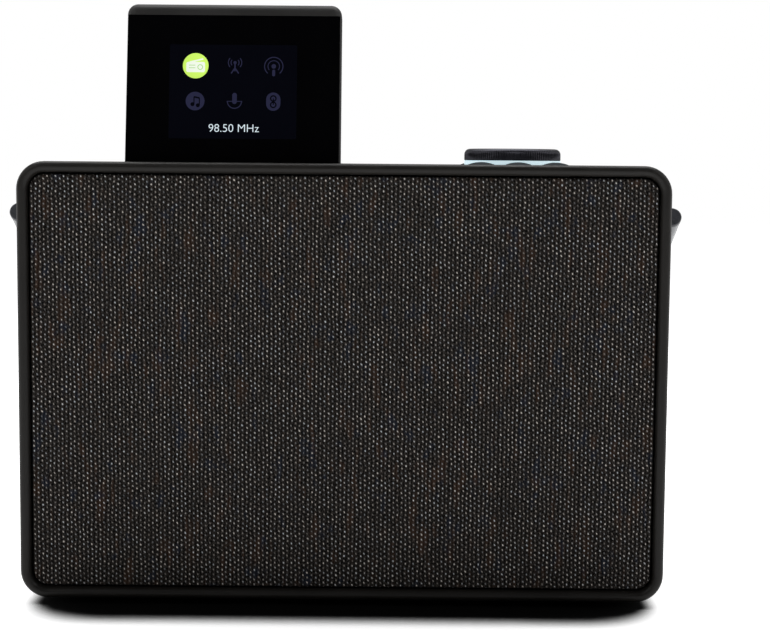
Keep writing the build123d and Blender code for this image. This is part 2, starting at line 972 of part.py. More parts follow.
def tuner_can():
    x = socket_pocket_x - main_board_width / 4
    return block(
        x,
        main_board_depth - tuner_depth,
        main_board_z - tuner_height,
        tuner_width,
        tuner_depth,
        tuner_height,
    )


def heat_sink():
    low = main_board_z + board_edge
    base = block(
        socket_pocket_x, main_board_depth - sink_base, low, sink_width, sink_base, sink_height
    )
    pitch = (sink_width - fin_thickness) / (sink_fins - 1)
    for i in range(sink_fins):
        x = socket_pocket_x - sink_width / 2 + fin_thickness / 2 + i * pitch
        base += block(x, main_board_depth - sink_depth, low, fin_thickness, sink_depth, sink_height)
    return base


def socket_block(x, nose, bore, depth):
    face = pocket_floor - part_gap
    body_back = pocket_floor - socket_floor - part_gap
    body = block(
        x,
        board_back,
        socket_pocket_z - socket_body / 2,
        socket_body,
        body_back - board_back,
        socket_body,
    )
    body += rod_y(x, board_back, socket_pocket_z, nose, face - board_back)
    body -= rod_y(x, face - depth, socket_pocket_z, bore, depth + 1)
    return body


def dc_socket():
    x = socket_xs[0]
    face = pocket_floor - part_gap
    body = socket_block(x, dc_nose_radius, dc_bore_radius, dc_bore_depth)
    pin_front = face - dc_bore_depth - 0.5
    return body + rod_y(x, pin_front, socket_pocket_z, dc_pin_radius, dc_bore_depth)


def headphone_socket():
    return socket_block(socket_xs[1], nose_radius, jack_radius, jack_depth - socket_floor)


def line_in_socket():
    return socket_block(socket_xs[2], nose_radius, jack_radius, jack_depth - socket_floor)


def usb_socket():
    x = socket_xs[3]
    face = pocket_floor - part_gap
    body = slab(usb_width, usb_height, usb_height / 2 - 0.1, board_back, face - board_back, x, socket_pocket_z)
    hollow = slab(
        usb_width - 1,
        usb_height - 1,
        usb_height / 2 - 0.6,
        face - usb_depth,
        usb_depth + 1,
        x,
        socket_pocket_z,
    )
    tongue = block(
        x, face - usb_depth - 0.5, socket_pocket_z - 0.35, usb_width - 3, usb_depth - 0.5, 0.7
    )
    return body - hollow + tongue


def bass_port():
    back = body_depth
    start = back - port_length
    tube = rod_y(port_x, start, port_z, port_radius + port_wall, port_length)
    tube -= rod_y(port_x, start - 1, port_z, port_radius, port_length + 2)
    flare = tube.edges().filter_by(GeomType.CIRCLE).sort_by(Axis.Y)[-2:].sort_by(SortBy.RADIUS)[0]
    return fillet(flare, port_wall * 0.75)


def battery_pack():
    pack = block(
        battery_x,
        compartment_front + battery_gap,
        battery_z - battery_height / 2,
        battery_width,
        battery_depth,
        battery_height,
    )
    return fillet(pack.edges().filter_by(Axis.Z), 2.0)


def battery_contacts():
    blades = []
    for offset in (-1, 0, 1):
        blades.append(
            block(
                battery_x + battery_width / 3 + offset * 4,
                compartment_front,
                battery_z - 4,
                1.6,
                battery_gap,
                8,
            )
        )
    return blades


def battery_door():
    door = slab(
        door_width,
        door_height,
        door_lip,
        body_depth - door_thickness,
        door_thickness,
        battery_x,
        battery_z,
    )
    for offset in (-1, 0, 1):
        groove = block(
            battery_x,
            body_depth - door_thickness / 3,
            battery_z + door_height / 2 - 2 * door_grip_radius + offset * 3,
            4 * door_grip_radius,
            door_thickness,
            1.2,
        )
        door -= groove
    return door


# ---- handle ------------------------------------------------------------------------------

def handle_point(x, run):
    """A point on the stored handle: run is counted along the arm from its front end."""
    angle = radians(handle_rest_angle)
    return Vector(
        x,
        y_at(handle_end_depth + run * cos(angle)),
        top - handle_end_drop - run * sin(angle),
    )


def arm_rod(x, run, radius, length):
    """A round bar along the arm from a run."""
    turn = Rot(-90 - handle_rest_angle, 0, 0)
    return Pos(*handle_point(x, run + length / 2)) * turn * Cylinder(radius, length)


def handle_tube():
    start = handle_point(arm_x, handle_cap)
    path = FilletPolyline(
        start,
        handle_point(arm_x, arm_length),
        handle_point(-arm_x, arm_length),
        handle_point(-arm_x, handle_cap),
        radius=handle_bend,
    )
    along = handle_point(arm_x, arm_length) - start
    tube = sweep(Plane(origin=start, z_dir=along) * Circle(bar_radius), path)
    for side in (-1, 1):
        tube -= arm_rod(side * arm_x, handle_cap, handle_plug_radius + screw_fit, handle_plug_length)
        hole = Pos(*handle_point(side * (arm_x - bar_radius), handle_pivot_run)) * Rot(0, 90, 0)
        tube -= hole * Cylinder(pivot_radius + screw_fit, 2 * pivot_sink)
    return tube


def handle_grip():
    centre = handle_point(0, arm_length)
    sleeve = Pos(*centre) * Rot(0, 90, 0) * Cylinder(grip_radius, grip_length)
    sleeve = fillet(sleeve.edges(), (grip_radius - bar_radius) / 2)
    return sleeve - Pos(*centre) * Rot(0, 90, 0) * Cylinder(bar_radius + screw_fit, grip_length + 2)


def handle_end_caps():
    caps = []
    for side in (-1, 1):
        cap = arm_rod(side * arm_x, 0, bar_radius, handle_cap)
        cap = fillet(cap.edges().sort_by(Axis.Y)[0], 0.6)
        caps.append(cap + arm_rod(side * arm_x, handle_cap, handle_plug_radius, handle_plug_length - 0.2))
    return caps


def handle_pivot_pins():
    pins = []
    for side in (-1, 1):
        outer = arm_x - bar_radius + pivot_sink - part_gap
        head_outer = body_width / 2 - bush_length - part_gap
        inner = head_outer - pivot_head_length
        pin = rod_x(inner, pivot_depth, pivot_z, pivot_radius, outer - inner)
        pin += rod_x(inner, pivot_depth, pivot_z, pivot_head_radius, pivot_head_length)
        pins.append(pin if side > 0 else mirror(pin, Plane.YZ))
    return pins


def handle_bushes():
    bushes = []
    for side in (-1, 1):
        inner = body_width / 2 - bush_length
        bush = rod_x(inner, pivot_depth, pivot_z, pivot_radius + running_fit + bush_wall, bush_length)
        bush += rod_x(
            body_width / 2 - bush_collar,
            pivot_depth,
            pivot_z,
            pivot_radius + bush_wall + bush_flange,
            2 * bush_collar,
        )
        bush -= rod_x(inner - 1, pivot_depth, pivot_z, pivot_radius + running_fit, 2 * bush_length)
        bushes.append(bush if side > 0 else mirror(bush, Plane.YZ))
    return bushes


# ---- rod aerial --------------------------------------------------------------------------

def aerial_swivel():
    block_front = channel_floor_depth + part_gap
    block_back = body_depth - 0.1
    swivel = rod_y(aerial_x, block_front, aerial_z, swivel_radius, block_back - block_front)
    slot_depth = aerial_depth - tongue_radius - part_gap
    swivel -= block(
        aerial_x,
        slot_depth,
        aerial_z - tongue_thickness / 2 - running_fit,
        4 * swivel_radius,
        body_depth,
        tongue_thickness + 2 * running_fit,
    )
    swivel -= rod_z(
        aerial_x, aerial_depth, aerial_z - swivel_radius, elbow_radius + screw_fit, 2 * swivel_radius
    )
    stud = rod_y(
        aerial_x,
        shell_depth - clip_height - stud_end,
        aerial_z,
        stud_radius,
        block_front - shell_depth + clip_height + stud_end,
    )
    return swivel + stud


def aerial_circlip():
    clip = rod_y(aerial_x, shell_depth - clip_height, aerial_z, clip_radius, clip_height)
    clip -= rod_y(aerial_x, shell_depth - 2 * clip_height, aerial_z, stud_radius + screw_fit, body_depth)
    return clip - block(
        aerial_x,
        shell_depth - 2 * clip_height,
        aerial_z - 2 * clip_radius,
        stud_radius,
        body_depth,
        2 * clip_radius,
    )


def aerial_elbow_pin():
    half = swivel_radius - 2 * part_gap
    return rod_z(aerial_x, aerial_depth, aerial_z - half, elbow_radius, 2 * half)


def aerial_base_tube():
    radius = aerial_radii[0]
    tube = rod_x(aerial_root_x - aerial_length, aerial_depth, aerial_z, radius, aerial_length)
    bore = rod_x(
        aerial_root_x - aerial_length - 1, aerial_depth, aerial_z, radius - aerial_wall, aerial_length - 3
    )
    tongue = block(
        aerial_x - aerial_stub / 2,
        aerial_depth - tongue_radius,
        aerial_z - tongue_thickness / 2,
        aerial_stub + 1,
        2 * tongue_radius,
        tongue_thickness,
    )
    tongue = tongue - block(
        aerial_x + swivel_radius,
        0,
        aerial_z - swivel_radius,
        2 * swivel_radius,
        overall_depth,
        2 * swivel_radius,
    )
    tongue += rod_z(
        aerial_x, aerial_depth, aerial_z - tongue_thickness / 2, tongue_radius, tongue_thickness
    )
    tongue -= rod_z(aerial_x, aerial_depth, aerial_z - swivel_radius, elbow_radius + running_fit, 20)
    return tube - bore + tongue


def aerial_section(index):
    radius = aerial_radii[index]
    end = aerial_root_x - aerial_length - aerial_step * index
    length = aerial_length - 6
    tube = rod_x(end, aerial_depth, aerial_z, radius, length)
    if index < len(aerial_radii) - 1:
        tube -= rod_x(end - 1, aerial_depth, aerial_z, radius - aerial_wall, length - 1)
    return tube


def aerial_tip():
    button = rod_x(aerial_end_x - aerial_tip_length, aerial_depth, aerial_z, aerial_tip_radius, aerial_tip_length)
    return fillet(button.edges(), 1.0)


# ---- writing the parts -------------------------------------------------------------------

def write(name, shape):
    if isinstance(shape, list):
        shape = Compound(children=shape)
    export_step(shape, f"parts/{name}.step")


write("cabinet_shell", cabinet_shell())
write("rear_cover", rear_cover())
write("feet", feet())
write("rear_screws", rear_screws())
write("inner_screws", inner_screws())
write("grille_fabric", grille_fabric())
write("grille_frame", grille_frame())
write("speaker_baffle", speaker_baffle())
for side_name, side in (("left", -1), ("right", 1)):
    write(f"{side_name}_driver_basket", driver_basket(side * driver_x))
    write(f"{side_name}_driver_surround", driver_surround(side * driver_x))
    write(f"{side_name}_driver_cone", driver_cone(side * driver_x))
    write(f"{side_name}_driver_magnet", driver_magnet(side * driver_x))
write("driver_screws", driver_screws())
write("bass_port", bass_port())
write("display_well", display_well())
write("display_housing", display_housing())
write("display_glass", display_glass())
write("lcd_panel", lcd_panel())
write("display_board", display_board())
write("display_hinge_pins", display_hinge_pins())
write("dial_knob", dial_knob())
write("dial_ring", dial_ring())
write("encoder_rotor", encoder_rotor())
write("encoder_body", encoder_body())
write("control_board", control_board())
write("button_switches", button_switches())
for place, (x, depth) in button_places.items():
    write(f"button_{place}", button_cap(x, depth))
write("main_board", main_board())
write("tuner_can", tuner_can())
write("heat_sink", heat_sink())
write("dc_socket", dc_socket())
write("headphone_socket", headphone_socket())
write("line_in_socket", line_in_socket())
write("usb_socket", usb_socket())
write("battery_pack", battery_pack())
write("battery_contacts", battery_contacts())
write("battery_door", battery_door())
write("handle_tube", handle_tube())
write("handle_grip", handle_grip())
write("handle_end_caps", handle_end_caps())
write("handle_pivot_pins", handle_pivot_pins())
write("handle_bushes", handle_bushes())
write("aerial_swivel", aerial_swivel())
write("aerial_circlip", aerial_circlip())
write("aerial_elbow_pin", aerial_elbow_pin())
write("aerial_base_tube", aerial_base_tube())
for index in (1, 2, 3):
    write(f"aerial_section_{index}", aerial_section(index))
write("aerial_tip", aerial_tip())
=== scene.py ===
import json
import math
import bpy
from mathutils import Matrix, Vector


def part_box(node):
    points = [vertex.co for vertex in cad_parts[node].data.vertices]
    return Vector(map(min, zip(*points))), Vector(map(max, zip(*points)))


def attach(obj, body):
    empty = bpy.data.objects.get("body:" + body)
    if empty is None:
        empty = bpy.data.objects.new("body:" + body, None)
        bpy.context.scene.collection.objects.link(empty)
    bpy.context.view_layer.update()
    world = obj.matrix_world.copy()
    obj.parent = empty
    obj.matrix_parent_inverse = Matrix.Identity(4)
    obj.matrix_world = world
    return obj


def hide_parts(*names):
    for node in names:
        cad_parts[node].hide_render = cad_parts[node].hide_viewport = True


bl_info = {
    "name": "Tabletop Radio",
    "version": (1, 0, 0),
    "blender": (4, 5, 0),
    "location": "3D View > Sidebar > Radio",
    "description": "Builds the cloth, screen, dial, grip and finishes of a tabletop radio on its CAD frame",
    "category": "Object",
}

import bmesh
import bpy
import numpy as np
from bpy.props import (
    BoolProperty, FloatProperty, FloatVectorProperty, IntProperty, PointerProperty, StringProperty)
from mathutils import Matrix, Vector

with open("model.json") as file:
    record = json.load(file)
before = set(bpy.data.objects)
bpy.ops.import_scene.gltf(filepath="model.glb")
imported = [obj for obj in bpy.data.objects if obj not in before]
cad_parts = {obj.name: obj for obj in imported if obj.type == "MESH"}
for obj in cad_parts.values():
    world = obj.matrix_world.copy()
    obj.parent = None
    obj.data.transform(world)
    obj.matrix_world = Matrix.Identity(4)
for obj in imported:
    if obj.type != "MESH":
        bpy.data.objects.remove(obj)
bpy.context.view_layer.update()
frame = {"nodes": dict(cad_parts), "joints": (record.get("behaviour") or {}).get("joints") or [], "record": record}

MM = 0.001
BLACK, WHITE = (0.0, 0.0, 0.0), (1.0, 1.0, 1.0)
JOINTS = {joint["name"]: joint for joint in frame["joints"]}
SLOT_OF_NODE = {part["node"]: part["material_slot"] for part in frame["record"]["subparts"]}
# the finishes made here, by slot; the frame's own plain materials have the same names
FINISHES = {}

BODY_LOW, BODY_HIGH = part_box("cabinet_shell")
CLOTH_LOW, CLOTH_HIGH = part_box("grille_fabric")
DIAL_LOW, DIAL_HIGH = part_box("dial_knob")
GRIP_LOW, GRIP_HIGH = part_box("handle_grip")
COVER_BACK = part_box("rear_cover")[1].y
DIAL_MIDDLE = (DIAL_LOW + DIAL_HIGH) / 2
GRIP_MIDDLE = (GRIP_LOW + GRIP_HIGH) / 2

# connector pocket: its depth, how far the marks stand above the sockets, and their thickness
POCKET_DEPTH = 5.0 * MM
MARK_RISE = 8.5 * MM
MARK_THICKNESS = 0.03 * MM

# thickness of one printed layer of the screen
LAYER = 0.02 * MM
# centres of the screen's columns and rows, in millimetres from the middle of the lit area
LEFT, MIDDLE, RIGHT = -14.05, 0.6, 15.05
UPPER, LOWER = 9.7, -3.65
DISC_RADIUS = 4.78
LABEL_WIDTH = 18.7
LABEL_PLACE = (0.45, -13.9)


# ---- settings ----------------------------------------------------------------------------

class RadioClothSettings(bpy.types.PropertyGroup):
    """Sizes and yarn colours of the speaker cloth"""

    column_pitch: FloatProperty(
        name="Column pitch", description="Distance between two neighbouring warp columns",
        default=1.52 * MM, unit="LENGTH", precision=5)
    fleck_pitch: FloatProperty(
        name="Fleck pitch", description="Distance between two light flecks down one column",
        default=1.84 * MM, unit="LENGTH", precision=5)
    relief: FloatProperty(
        name="Relief", description="Height of a fleck above the valley beside it",
        default=0.3 * MM, unit="LENGTH", precision=5)
    edge_round: FloatProperty(
        name="Edge round", description="Radius at which the cloth turns back over its frame",
        default=0.8 * MM, unit="LENGTH", precision=5)
    corner_radius: FloatProperty(
        name="Corner radius", description="Radius of the cloth's four corners, seen from the front",
        default=5.7 * MM, unit="LENGTH", precision=5)
    ground_colour: FloatVectorProperty(
        name="Ground yarn", description="Colour of the dark ground yarn",
        default=(0.012, 0.0105, 0.0095), subtype="COLOR", min=0, max=1)
    warm_fleck: FloatVectorProperty(
        name="Warm fleck", description="Colour of the beige flecks",
        default=(0.47, 0.43, 0.395), subtype="COLOR", min=0, max=1)
    cool_fleck: FloatVectorProperty(
        name="Cool fleck", description="Colour of the blue-grey flecks",
        default=(0.385, 0.405, 0.43), subtype="COLOR", min=0, max=1)


class RadioScreenSettings(bpy.types.PropertyGroup):
    """Layout and colours of the picture on the display"""

    label: StringProperty(
        name="Label", description="Generic line shown under the symbols", default="98.50 MHz")
    width: FloatProperty(
        name="Lit width", description="Width of the lit area",
        default=47.5 * MM, unit="LENGTH", precision=5)
    height: FloatProperty(
        name="Lit height", description="Height of the lit area",
        default=35.5 * MM, unit="LENGTH", precision=5)
    centre: FloatProperty(
        name="Centre", description="Distance from the hinge axis to the middle of the lit area",
        default=30.7 * MM, unit="LENGTH", precision=5)
    lean: FloatProperty(
        name="Lean", description="How far the raised display leans back from upright",
        default=math.radians(10), unit="ROTATION")
    face: FloatProperty(
        name="Face", description="Distance from the hinge axis to the front of the glass",
        default=4.8 * MM, unit="LENGTH", precision=5)
    active_colour: FloatVectorProperty(
        name="Chosen symbol", description="Colour of the disc behind the chosen symbol",
        default=(0.66, 1.0, 0.15), subtype="COLOR", min=0, max=1)
    idle_colour: FloatVectorProperty(
        name="Other symbols", description="Colour of the symbols that aren't chosen",
        default=(0.021, 0.022, 0.052), subtype="COLOR", min=0, max=1)
    field_colour: FloatVectorProperty(
        name="Screen black", description="Colour of the lit area where nothing is shown",
        default=(0.0007, 0.0009, 0.0025), subtype="COLOR", min=0, max=1)
    label_colour: FloatVectorProperty(
        name="Label colour", description="Colour of the label",
        default=(0.80, 0.92, 1.0), subtype="COLOR", min=0, max=1)


class RadioDialSettings(bpy.types.PropertyGroup):
    """Knurl and finish of the control dial"""

    teeth: IntProperty(
        name="Teeth", description="Number of ridges round the dial", default=126, min=24, max=240)
    tooth_depth: FloatProperty(
        name="Tooth depth", description="Depth of the grooves between two ridges",
        default=0.24 * MM, unit="LENGTH", precision=5)
    top_round: FloatProperty(
        name="Top round", description="Radius of the dial's top edge",
        default=2.2 * MM, unit="LENGTH", precision=5)
    dish: FloatProperty(
        name="Dish", description="Depth of the shallow dish in the dial's top",
        default=0.35 * MM, unit="LENGTH", precision=5)
    colour: FloatVectorProperty(
        name="Dial colour", description="Colour of the dial cap",
        default=(0.020, 0.024, 0.032), subtype="COLOR", min=0, max=1)


class RadioHandleSettings(bpy.types.PropertyGroup):
    """Ribs of the rubber sleeve on the handle"""

    rib_pitch: FloatProperty(
        name="Rib pitch", description="Distance between two ribs",
        default=2.4 * MM, unit="LENGTH", precision=5)
    rib_depth: FloatProperty(
        name="Rib depth", description="Depth of the groove between two ribs",
        default=0.35 * MM, unit="LENGTH", precision=5)
    plain_end: FloatProperty(
        name="Plain end", description="Length without ribs at each end",
        default=5.0 * MM, unit="LENGTH", precision=5)


class RadioStageSettings(bpy.types.PropertyGroup):
    """Floor, room and camera"""

    floor_colour: FloatVectorProperty(
        name="Floor", description="Colour of the floor",
        default=(0.86, 0.86, 0.86), subtype="COLOR", min=0, max=1)
    floor_size: FloatProperty(
        name="Floor size", description="Length of one side of the floor",
        default=8.0, unit="LENGTH")
    contact: FloatProperty(
        name="Contact shadow", description="How far the dark contact shadow reaches from the cabinet",
        default=42.0 * MM, unit="LENGTH", precision=4)
    lens: FloatProperty(
        name="Lens", description="Focal length on a 36 mm sensor, in millimetres",
        default=76.73, unit="CAMERA")
    distance: FloatProperty(
        name="Distance", description="From the front of the cabinet to the camera",
        default=0.6, unit="LENGTH")
    pitch: FloatProperty(
        name="Pitch", description="How far the camera looks down",
        default=math.radians(5.35), unit="ROTATION")
    roll: FloatProperty(
        name="Roll", description="Turn of the camera about its own line of sight",
        default=math.radians(0.485), unit="ROTATION")
    shift_right: FloatProperty(
        name="Sideways", description="How far the camera stands to the right of the middle",
        default=15.3 * MM, unit="LENGTH", precision=5)
    rise: FloatProperty(
        name="Rise", description="Height of the camera above the cabinet's top",
        default=0.2 * MM, unit="LENGTH", precision=5)
    white_room: BoolProperty(
        name="White room", description="Show the room behind the radio as plain white", default=True)


# ---- node helpers ------------------------------------------------------------------------

def feed(tree, target, value):
    """Gives a socket a value, or a link from another socket."""
    if isinstance(value, bpy.types.NodeSocket):
        tree.links.new(value, target)
    else:
        target.default_value = value


def add(tree, kind, inputs=None, **settings):
    """A new node with its settings and its inputs by name or number."""
    made = tree.nodes.new(kind)
    for name, value in settings.items():
        setattr(made, name, value)
    for name, value in (inputs or {}).items():
        feed(tree, made.inputs[name], value)
    return made


def calc(tree, operation, *values):
    """One Math node."""
    made = tree.nodes.new("ShaderNodeMath")
    made.operation = operation
    for socket, value in zip(made.inputs, values):
        feed(tree, socket, value)
    return made.outputs[0]


def weighed(tree, first, share, second, other):
    """The sum of two values, each times its own share."""
    return calc(tree, "ADD", calc(tree, "MULTIPLY", first, share), calc(tree, "MULTIPLY", second, other))


def ranged(tree, value, low, high, to_low=0.0, to_high=1.0, smooth=True):
    """One Map Range node, clamped."""
    made = add(tree, "ShaderNodeMapRange", interpolation_type="SMOOTHSTEP" if smooth else "LINEAR")
    for socket, item in zip(made.inputs, (value, low, high, to_low, to_high)):
        feed(tree, socket, item)
    return made.outputs[0]


def mixed(tree, share, first, second):
    """One colour Mix node. Plain colours are three numbers."""
    made = add(tree, "ShaderNodeMix", data_type="RGBA")
    for number, item in ((0, share), (6, first), (7, second)):
        if not isinstance(item, (bpy.types.NodeSocket, float, int)):
            item = (*item, 1.0)
        feed(tree, made.inputs[number], item)
    return made.outputs[2]


def noise(tree, place, scale, detail=2.0, roughness=0.5):
    """One Noise texture. Its scale is in features a metre."""
    given = {"Vector": place, "Scale": scale, "Detail": detail, "Roughness": roughness}
    return add(tree, "ShaderNodeTexNoise", given).outputs["Fac"]


def stretched(tree, place, scale):
    """Coordinates scaled along each axis."""
    return add(tree, "ShaderNodeMapping", {"Vector": place, "Scale": scale}).outputs[0]


def new_finish(name):
    """A material with a Principled shader, and the object's coordinates in metres."""
    material = bpy.data.materials.new(name)
    material.use_nodes = True
    tree = material.node_tree
    shader = tree.nodes["Principled BSDF"]
    place = tree.nodes.new("ShaderNodeTexCoord").outputs["Object"]
    FINISHES[name] = material
    return material, tree, shader, place


def bumped(tree, shader, height, depth):
    """Feeds a height into the shader's normal. The depth is in metres."""
    bump = add(tree, "ShaderNodeBump", {"Height": height, "Distance": depth, "Strength": 1.0})
    tree.links.new(bump.outputs[0], shader.inputs["Normal"])


def shades(colour, darker, lighter):
    """A colour times two factors."""
    return [channel * darker for channel in colour], [channel * lighter for channel in colour]


def grained(name, colour, grain, depth, rough, spread=(0.8, 1.2), cloud=60.0,
            metallic=0.0, stretch=(1, 1, 1), specular=0.5):
    """A surface with a fine grain, cloudy colour and uneven gloss."""
    material, tree, shader, place = new_finish(name)
    along = stretched(tree, place, stretch)
    low, high = shades(colour, *spread)
    patches = ranged(tree, noise(tree, along, cloud, 4.0), 0.3, 0.7)
    speckle = ranged(tree, noise(tree, along, grain, 2.0), 0.3, 0.7)
    tone = weighed(tree, patches, 0.6, speckle, 0.4)
    feed(tree, shader.inputs["Base Color"], mixed(tree, tone, low, high))
    feed(tree, shader.inputs["Roughness"], ranged(tree, tone, 0.0, 1.0, *rough, smooth=False))
    bumped(tree, shader, speckle, depth * MM)
    shader.inputs["Metallic"].default_value = metallic
    shader.inputs["Specular IOR Level"].default_value = specular
    return material


# ---- finishes ----------------------------------------------------------------------------

def woven_cloth(settings, column_pitch, fleck_pitch, corner):
    """Dark ground yarn with a light fleck in every cell of a half-stepped grid."""
    material, tree, shader, place = new_finish("grille_cloth")
    axes = add(tree, "ShaderNodeSeparateXYZ", {0: place}).outputs
    across = calc(tree, "DIVIDE", calc(tree, "SUBTRACT", axes["X"], corner[0]), column_pitch)
    up = calc(tree, "DIVIDE", calc(tree, "SUBTRACT", axes["Z"], corner[1]), fleck_pitch)
    # the columns wander a little, and every other one stands half a fleck lower
    wander = noise(tree, stretched(tree, place, (1, 0, 1)), 260.0, 1.0)
    across = calc(tree, "ADD", across, ranged(tree, wander, 0.3, 0.7, -0.16, 0.16, smooth=False))
    column = calc(tree, "ROUND", across)
    step = calc(tree, "MULTIPLY", calc(tree, "MODULO", calc(tree, "ABSOLUTE", column), 2.0), 0.5)
    down_column = calc(tree, "ADD", up, step)
    row = calc(tree, "ROUND", down_column)
    side = calc(tree, "SUBTRACT", across, column)
    rise = calc(tree, "SUBTRACT", down_column, row)
    cell = add(tree, "ShaderNodeCombineXYZ", {"X": column, "Y": row}).outputs[0]
    chance = add(tree, "ShaderNodeTexWhiteNoise", {"Vector": cell}, noise_dimensions="2D")
    lots = add(tree, "ShaderNodeSeparateColor", {0: chance.outputs["Color"]}).outputs
    # a fleck is a leaning oval with a frayed edge; its half axes are shares of the cell
    leaning = calc(tree, "ADD", side, calc(tree, "MULTIPLY", rise, 0.28))
    axes_squared = [
        calc(tree, "POWER", calc(tree, "ABSOLUTE", calc(tree, "DIVIDE", way, half)), 2.0)
        for way, half in ((leaning, 0.20), (rise, 0.26))
    ]
    oval = calc(tree, "SQRT", calc(tree, "ADD", *axes_squared))
    fibre = noise(tree, stretched(tree, place, (1.0, 1.0, 0.55)), 2600.0, 3.0, 0.6)
    oval = calc(tree, "ADD", oval, ranged(tree, fibre, 0.3, 0.7, -0.22, 0.22, smooth=False))
    fleck = ranged(tree, oval, 1.12, 0.25)
    # each fleck has its own strength and hue, and both drift over the cloth
    power = calc(tree, "POWER", lots[0], 1.4)
    streak = noise(tree, stretched(tree, place, (1.0, 1.0, 0.08)), 420.0, 2.0)
    cloud = noise(tree, place, 75.0, 3.0, 0.6)
    level = calc(
        tree, "MULTIPLY",
        ranged(tree, power, 0.0, 1.0, 0.28, 1.15, smooth=False),
        calc(tree, "MULTIPLY",
             ranged(tree, streak, 0.32, 0.68, 0.68, 1.30, smooth=False),
             ranged(tree, cloud, 0.3, 0.7, 0.80, 1.22, smooth=False)))
    hue = weighed(tree, lots[1], 0.6, cloud, 0.45)
    light = mixed(tree, ranged(tree, hue, 0.30, 0.85), settings.warm_fleck, settings.cool_fleck)
    # the ground yarn is nearly black between its fibres, with russet and bluish fibres
    ground_low, ground_high = shades(settings.ground_colour, 0.02, 3.3)
    ground = mixed(tree, ranged(tree, fibre, 0.38, 0.66), ground_low, ground_high)
    russet = noise(tree, stretched(tree, place, (1.0, 1.0, 0.3)), 330.0, 2.0)
    ground = mixed(tree, ranged(tree, russet, 0.55, 0.72, 0.0, 0.55), ground, (0.040, 0.022, 0.014))
    bluish = noise(tree, stretched(tree, place, (1.0, 1.0, 0.6)), 210.0, 2.0)
    ground = mixed(tree, ranged(tree, bluish, 0.58, 0.74, 0.0, 0.5), ground, (0.012, 0.018, 0.032))
    # painted shade: the whole colour is darkened to about a third in the grooves between the columns, where shade
    # falls
    groove_shade = ranged(tree, calc(tree, "ABSOLUTE", side), 0.30, 0.5, 1.0, 0.35)
    shown = mixed(tree, calc(tree, "MULTIPLY", fleck, level), ground, light)
    groove_shaded = add(tree, "ShaderNodeVectorMath", {0: shown, 3: groove_shade}, operation="SCALE").outputs[0]
    feed(tree, shader.inputs["Base Color"], groove_shaded)
    feed(tree, shader.inputs["Roughness"], ranged(tree, fibre, 0.3, 0.7, 0.82, 0.98, smooth=False))
    shader.inputs["Specular IOR Level"].default_value = 0.03
    bumped(tree, shader, weighed(tree, fleck, 0.7, fibre, 0.5), 0.12 * MM)
    return material


def screen_light(name, colour, strength=1.0):
    """A lit part of the display, with the fine grid of its dots."""
    material, tree, shader, place = new_finish(name)
    dimmest = 0.93
    dots = ranged(tree, noise(tree, place, 5200.0, 1.0), 0.35, 0.65, dimmest, 1.0)
    patch = ranged(tree, noise(tree, place, 120.0, 2.0), 0.3, 0.7, dimmest, 1.0)
    share = calc(tree, "MULTIPLY", dots, patch)
    feed(tree, shader.inputs["Emission Color"], mixed(tree, share, BLACK, colour))
    feed(tree, shader.inputs["Base Color"], mixed(tree, share, BLACK, (0.001, 0.001, 0.0015)))
    shader.inputs["Emission Strength"].default_value = strength
    shader.inputs["Roughness"].default_value = 0.3
    shader.inputs["Specular IOR Level"].default_value = 0.03
    return material


def black_glass():
    """Polished black glass with faint smears."""
    material, tree, shader, place = new_finish("screen_glass")
    smear = noise(tree, stretched(tree, place, (1.0, 1.0, 0.4)), 90.0, 4.0, 0.6)
    glass = mixed(tree, smear, (0.0004, 0.0004, 0.0006), (0.0014, 0.0014, 0.0018))
    feed(tree, shader.inputs["Base Color"], glass)
    feed(tree, shader.inputs["Roughness"], ranged(tree, smear, 0.35, 0.75, 0.03, 0.12))
    shader.inputs["Specular IOR Level"].default_value = 0.1
    bumped(tree, shader, noise(tree, place, 14.0, 1.0), 0.02 * MM)


def spun_cap(colour):
    """The dial's cap, turned on a lathe, with fine rings about its upright axis."""
    material, tree, shader, place = new_finish("dial_black")
    axis = (DIAL_MIDDLE.x, DIAL_MIDDLE.y, 0.0)
    centred = add(tree, "ShaderNodeVectorMath", {0: place, 1: axis}, operation="SUBTRACT")
    axes = add(tree, "ShaderNodeSeparateXYZ", {0: centred.outputs[0]}).outputs
    flat = add(tree, "ShaderNodeCombineXYZ", {"X": axes["X"], "Y": axes["Y"]}).outputs[0]
    radius = add(tree, "ShaderNodeVectorMath", {0: flat}, operation="LENGTH").outputs["Value"]
    ringed = add(tree, "ShaderNodeCombineXYZ", {"X": radius, "Y": axes["Z"]}).outputs[0]
    lines = ranged(tree, noise(tree, ringed, 7000.0, 2.0, 0.6), 0.3, 0.7)
    cloud = ranged(tree, noise(tree, place, 160.0, 3.0), 0.3, 0.7)
    tone = weighed(tree, lines, 0.6, cloud, 0.4)
    low, high = shades(colour, 0.75, 1.25)
    feed(tree, shader.inputs["Base Color"], mixed(tree, tone, low, high))
    feed(tree, shader.inputs["Roughness"], ranged(tree, tone, 0.0, 1.0, 0.30, 0.42, smooth=False))
    shader.inputs["Metallic"].default_value = 0.55
    bumped(tree, shader, lines, 0.003 * MM)


def painted_reflection_ring():
    """The bright ring under the dial: a pale frosted surface whose glow is a painted reflection of the white room,
    not a lamp.
    """
    material, tree, shader, place = new_finish("dial_bright")
    frost = ranged(tree, noise(tree, place, 1800.0, 3.0), 0.3, 0.7)
    glow = ranged(tree, noise(tree, place, 70.0, 2.0), 0.3, 0.7, 0.88, 1.0)
    feed(tree, shader.inputs["Base Color"], mixed(tree, frost, (0.62, 0.77, 0.88), (0.74, 0.89, 0.99)))
    # painted reflection: the emission stands in for the white room mirrored in the ring
    feed(tree, shader.inputs["Emission Color"], mixed(tree, glow, (0.35, 0.46, 0.56), (0.74, 0.95, 1.0)))
    feed(tree, shader.inputs["Roughness"], ranged(tree, frost, 0.0, 1.0, 0.28, 0.42, smooth=False))
    shader.inputs["Emission Strength"].default_value = 0.6
    bumped(tree, shader, frost, 0.006 * MM)


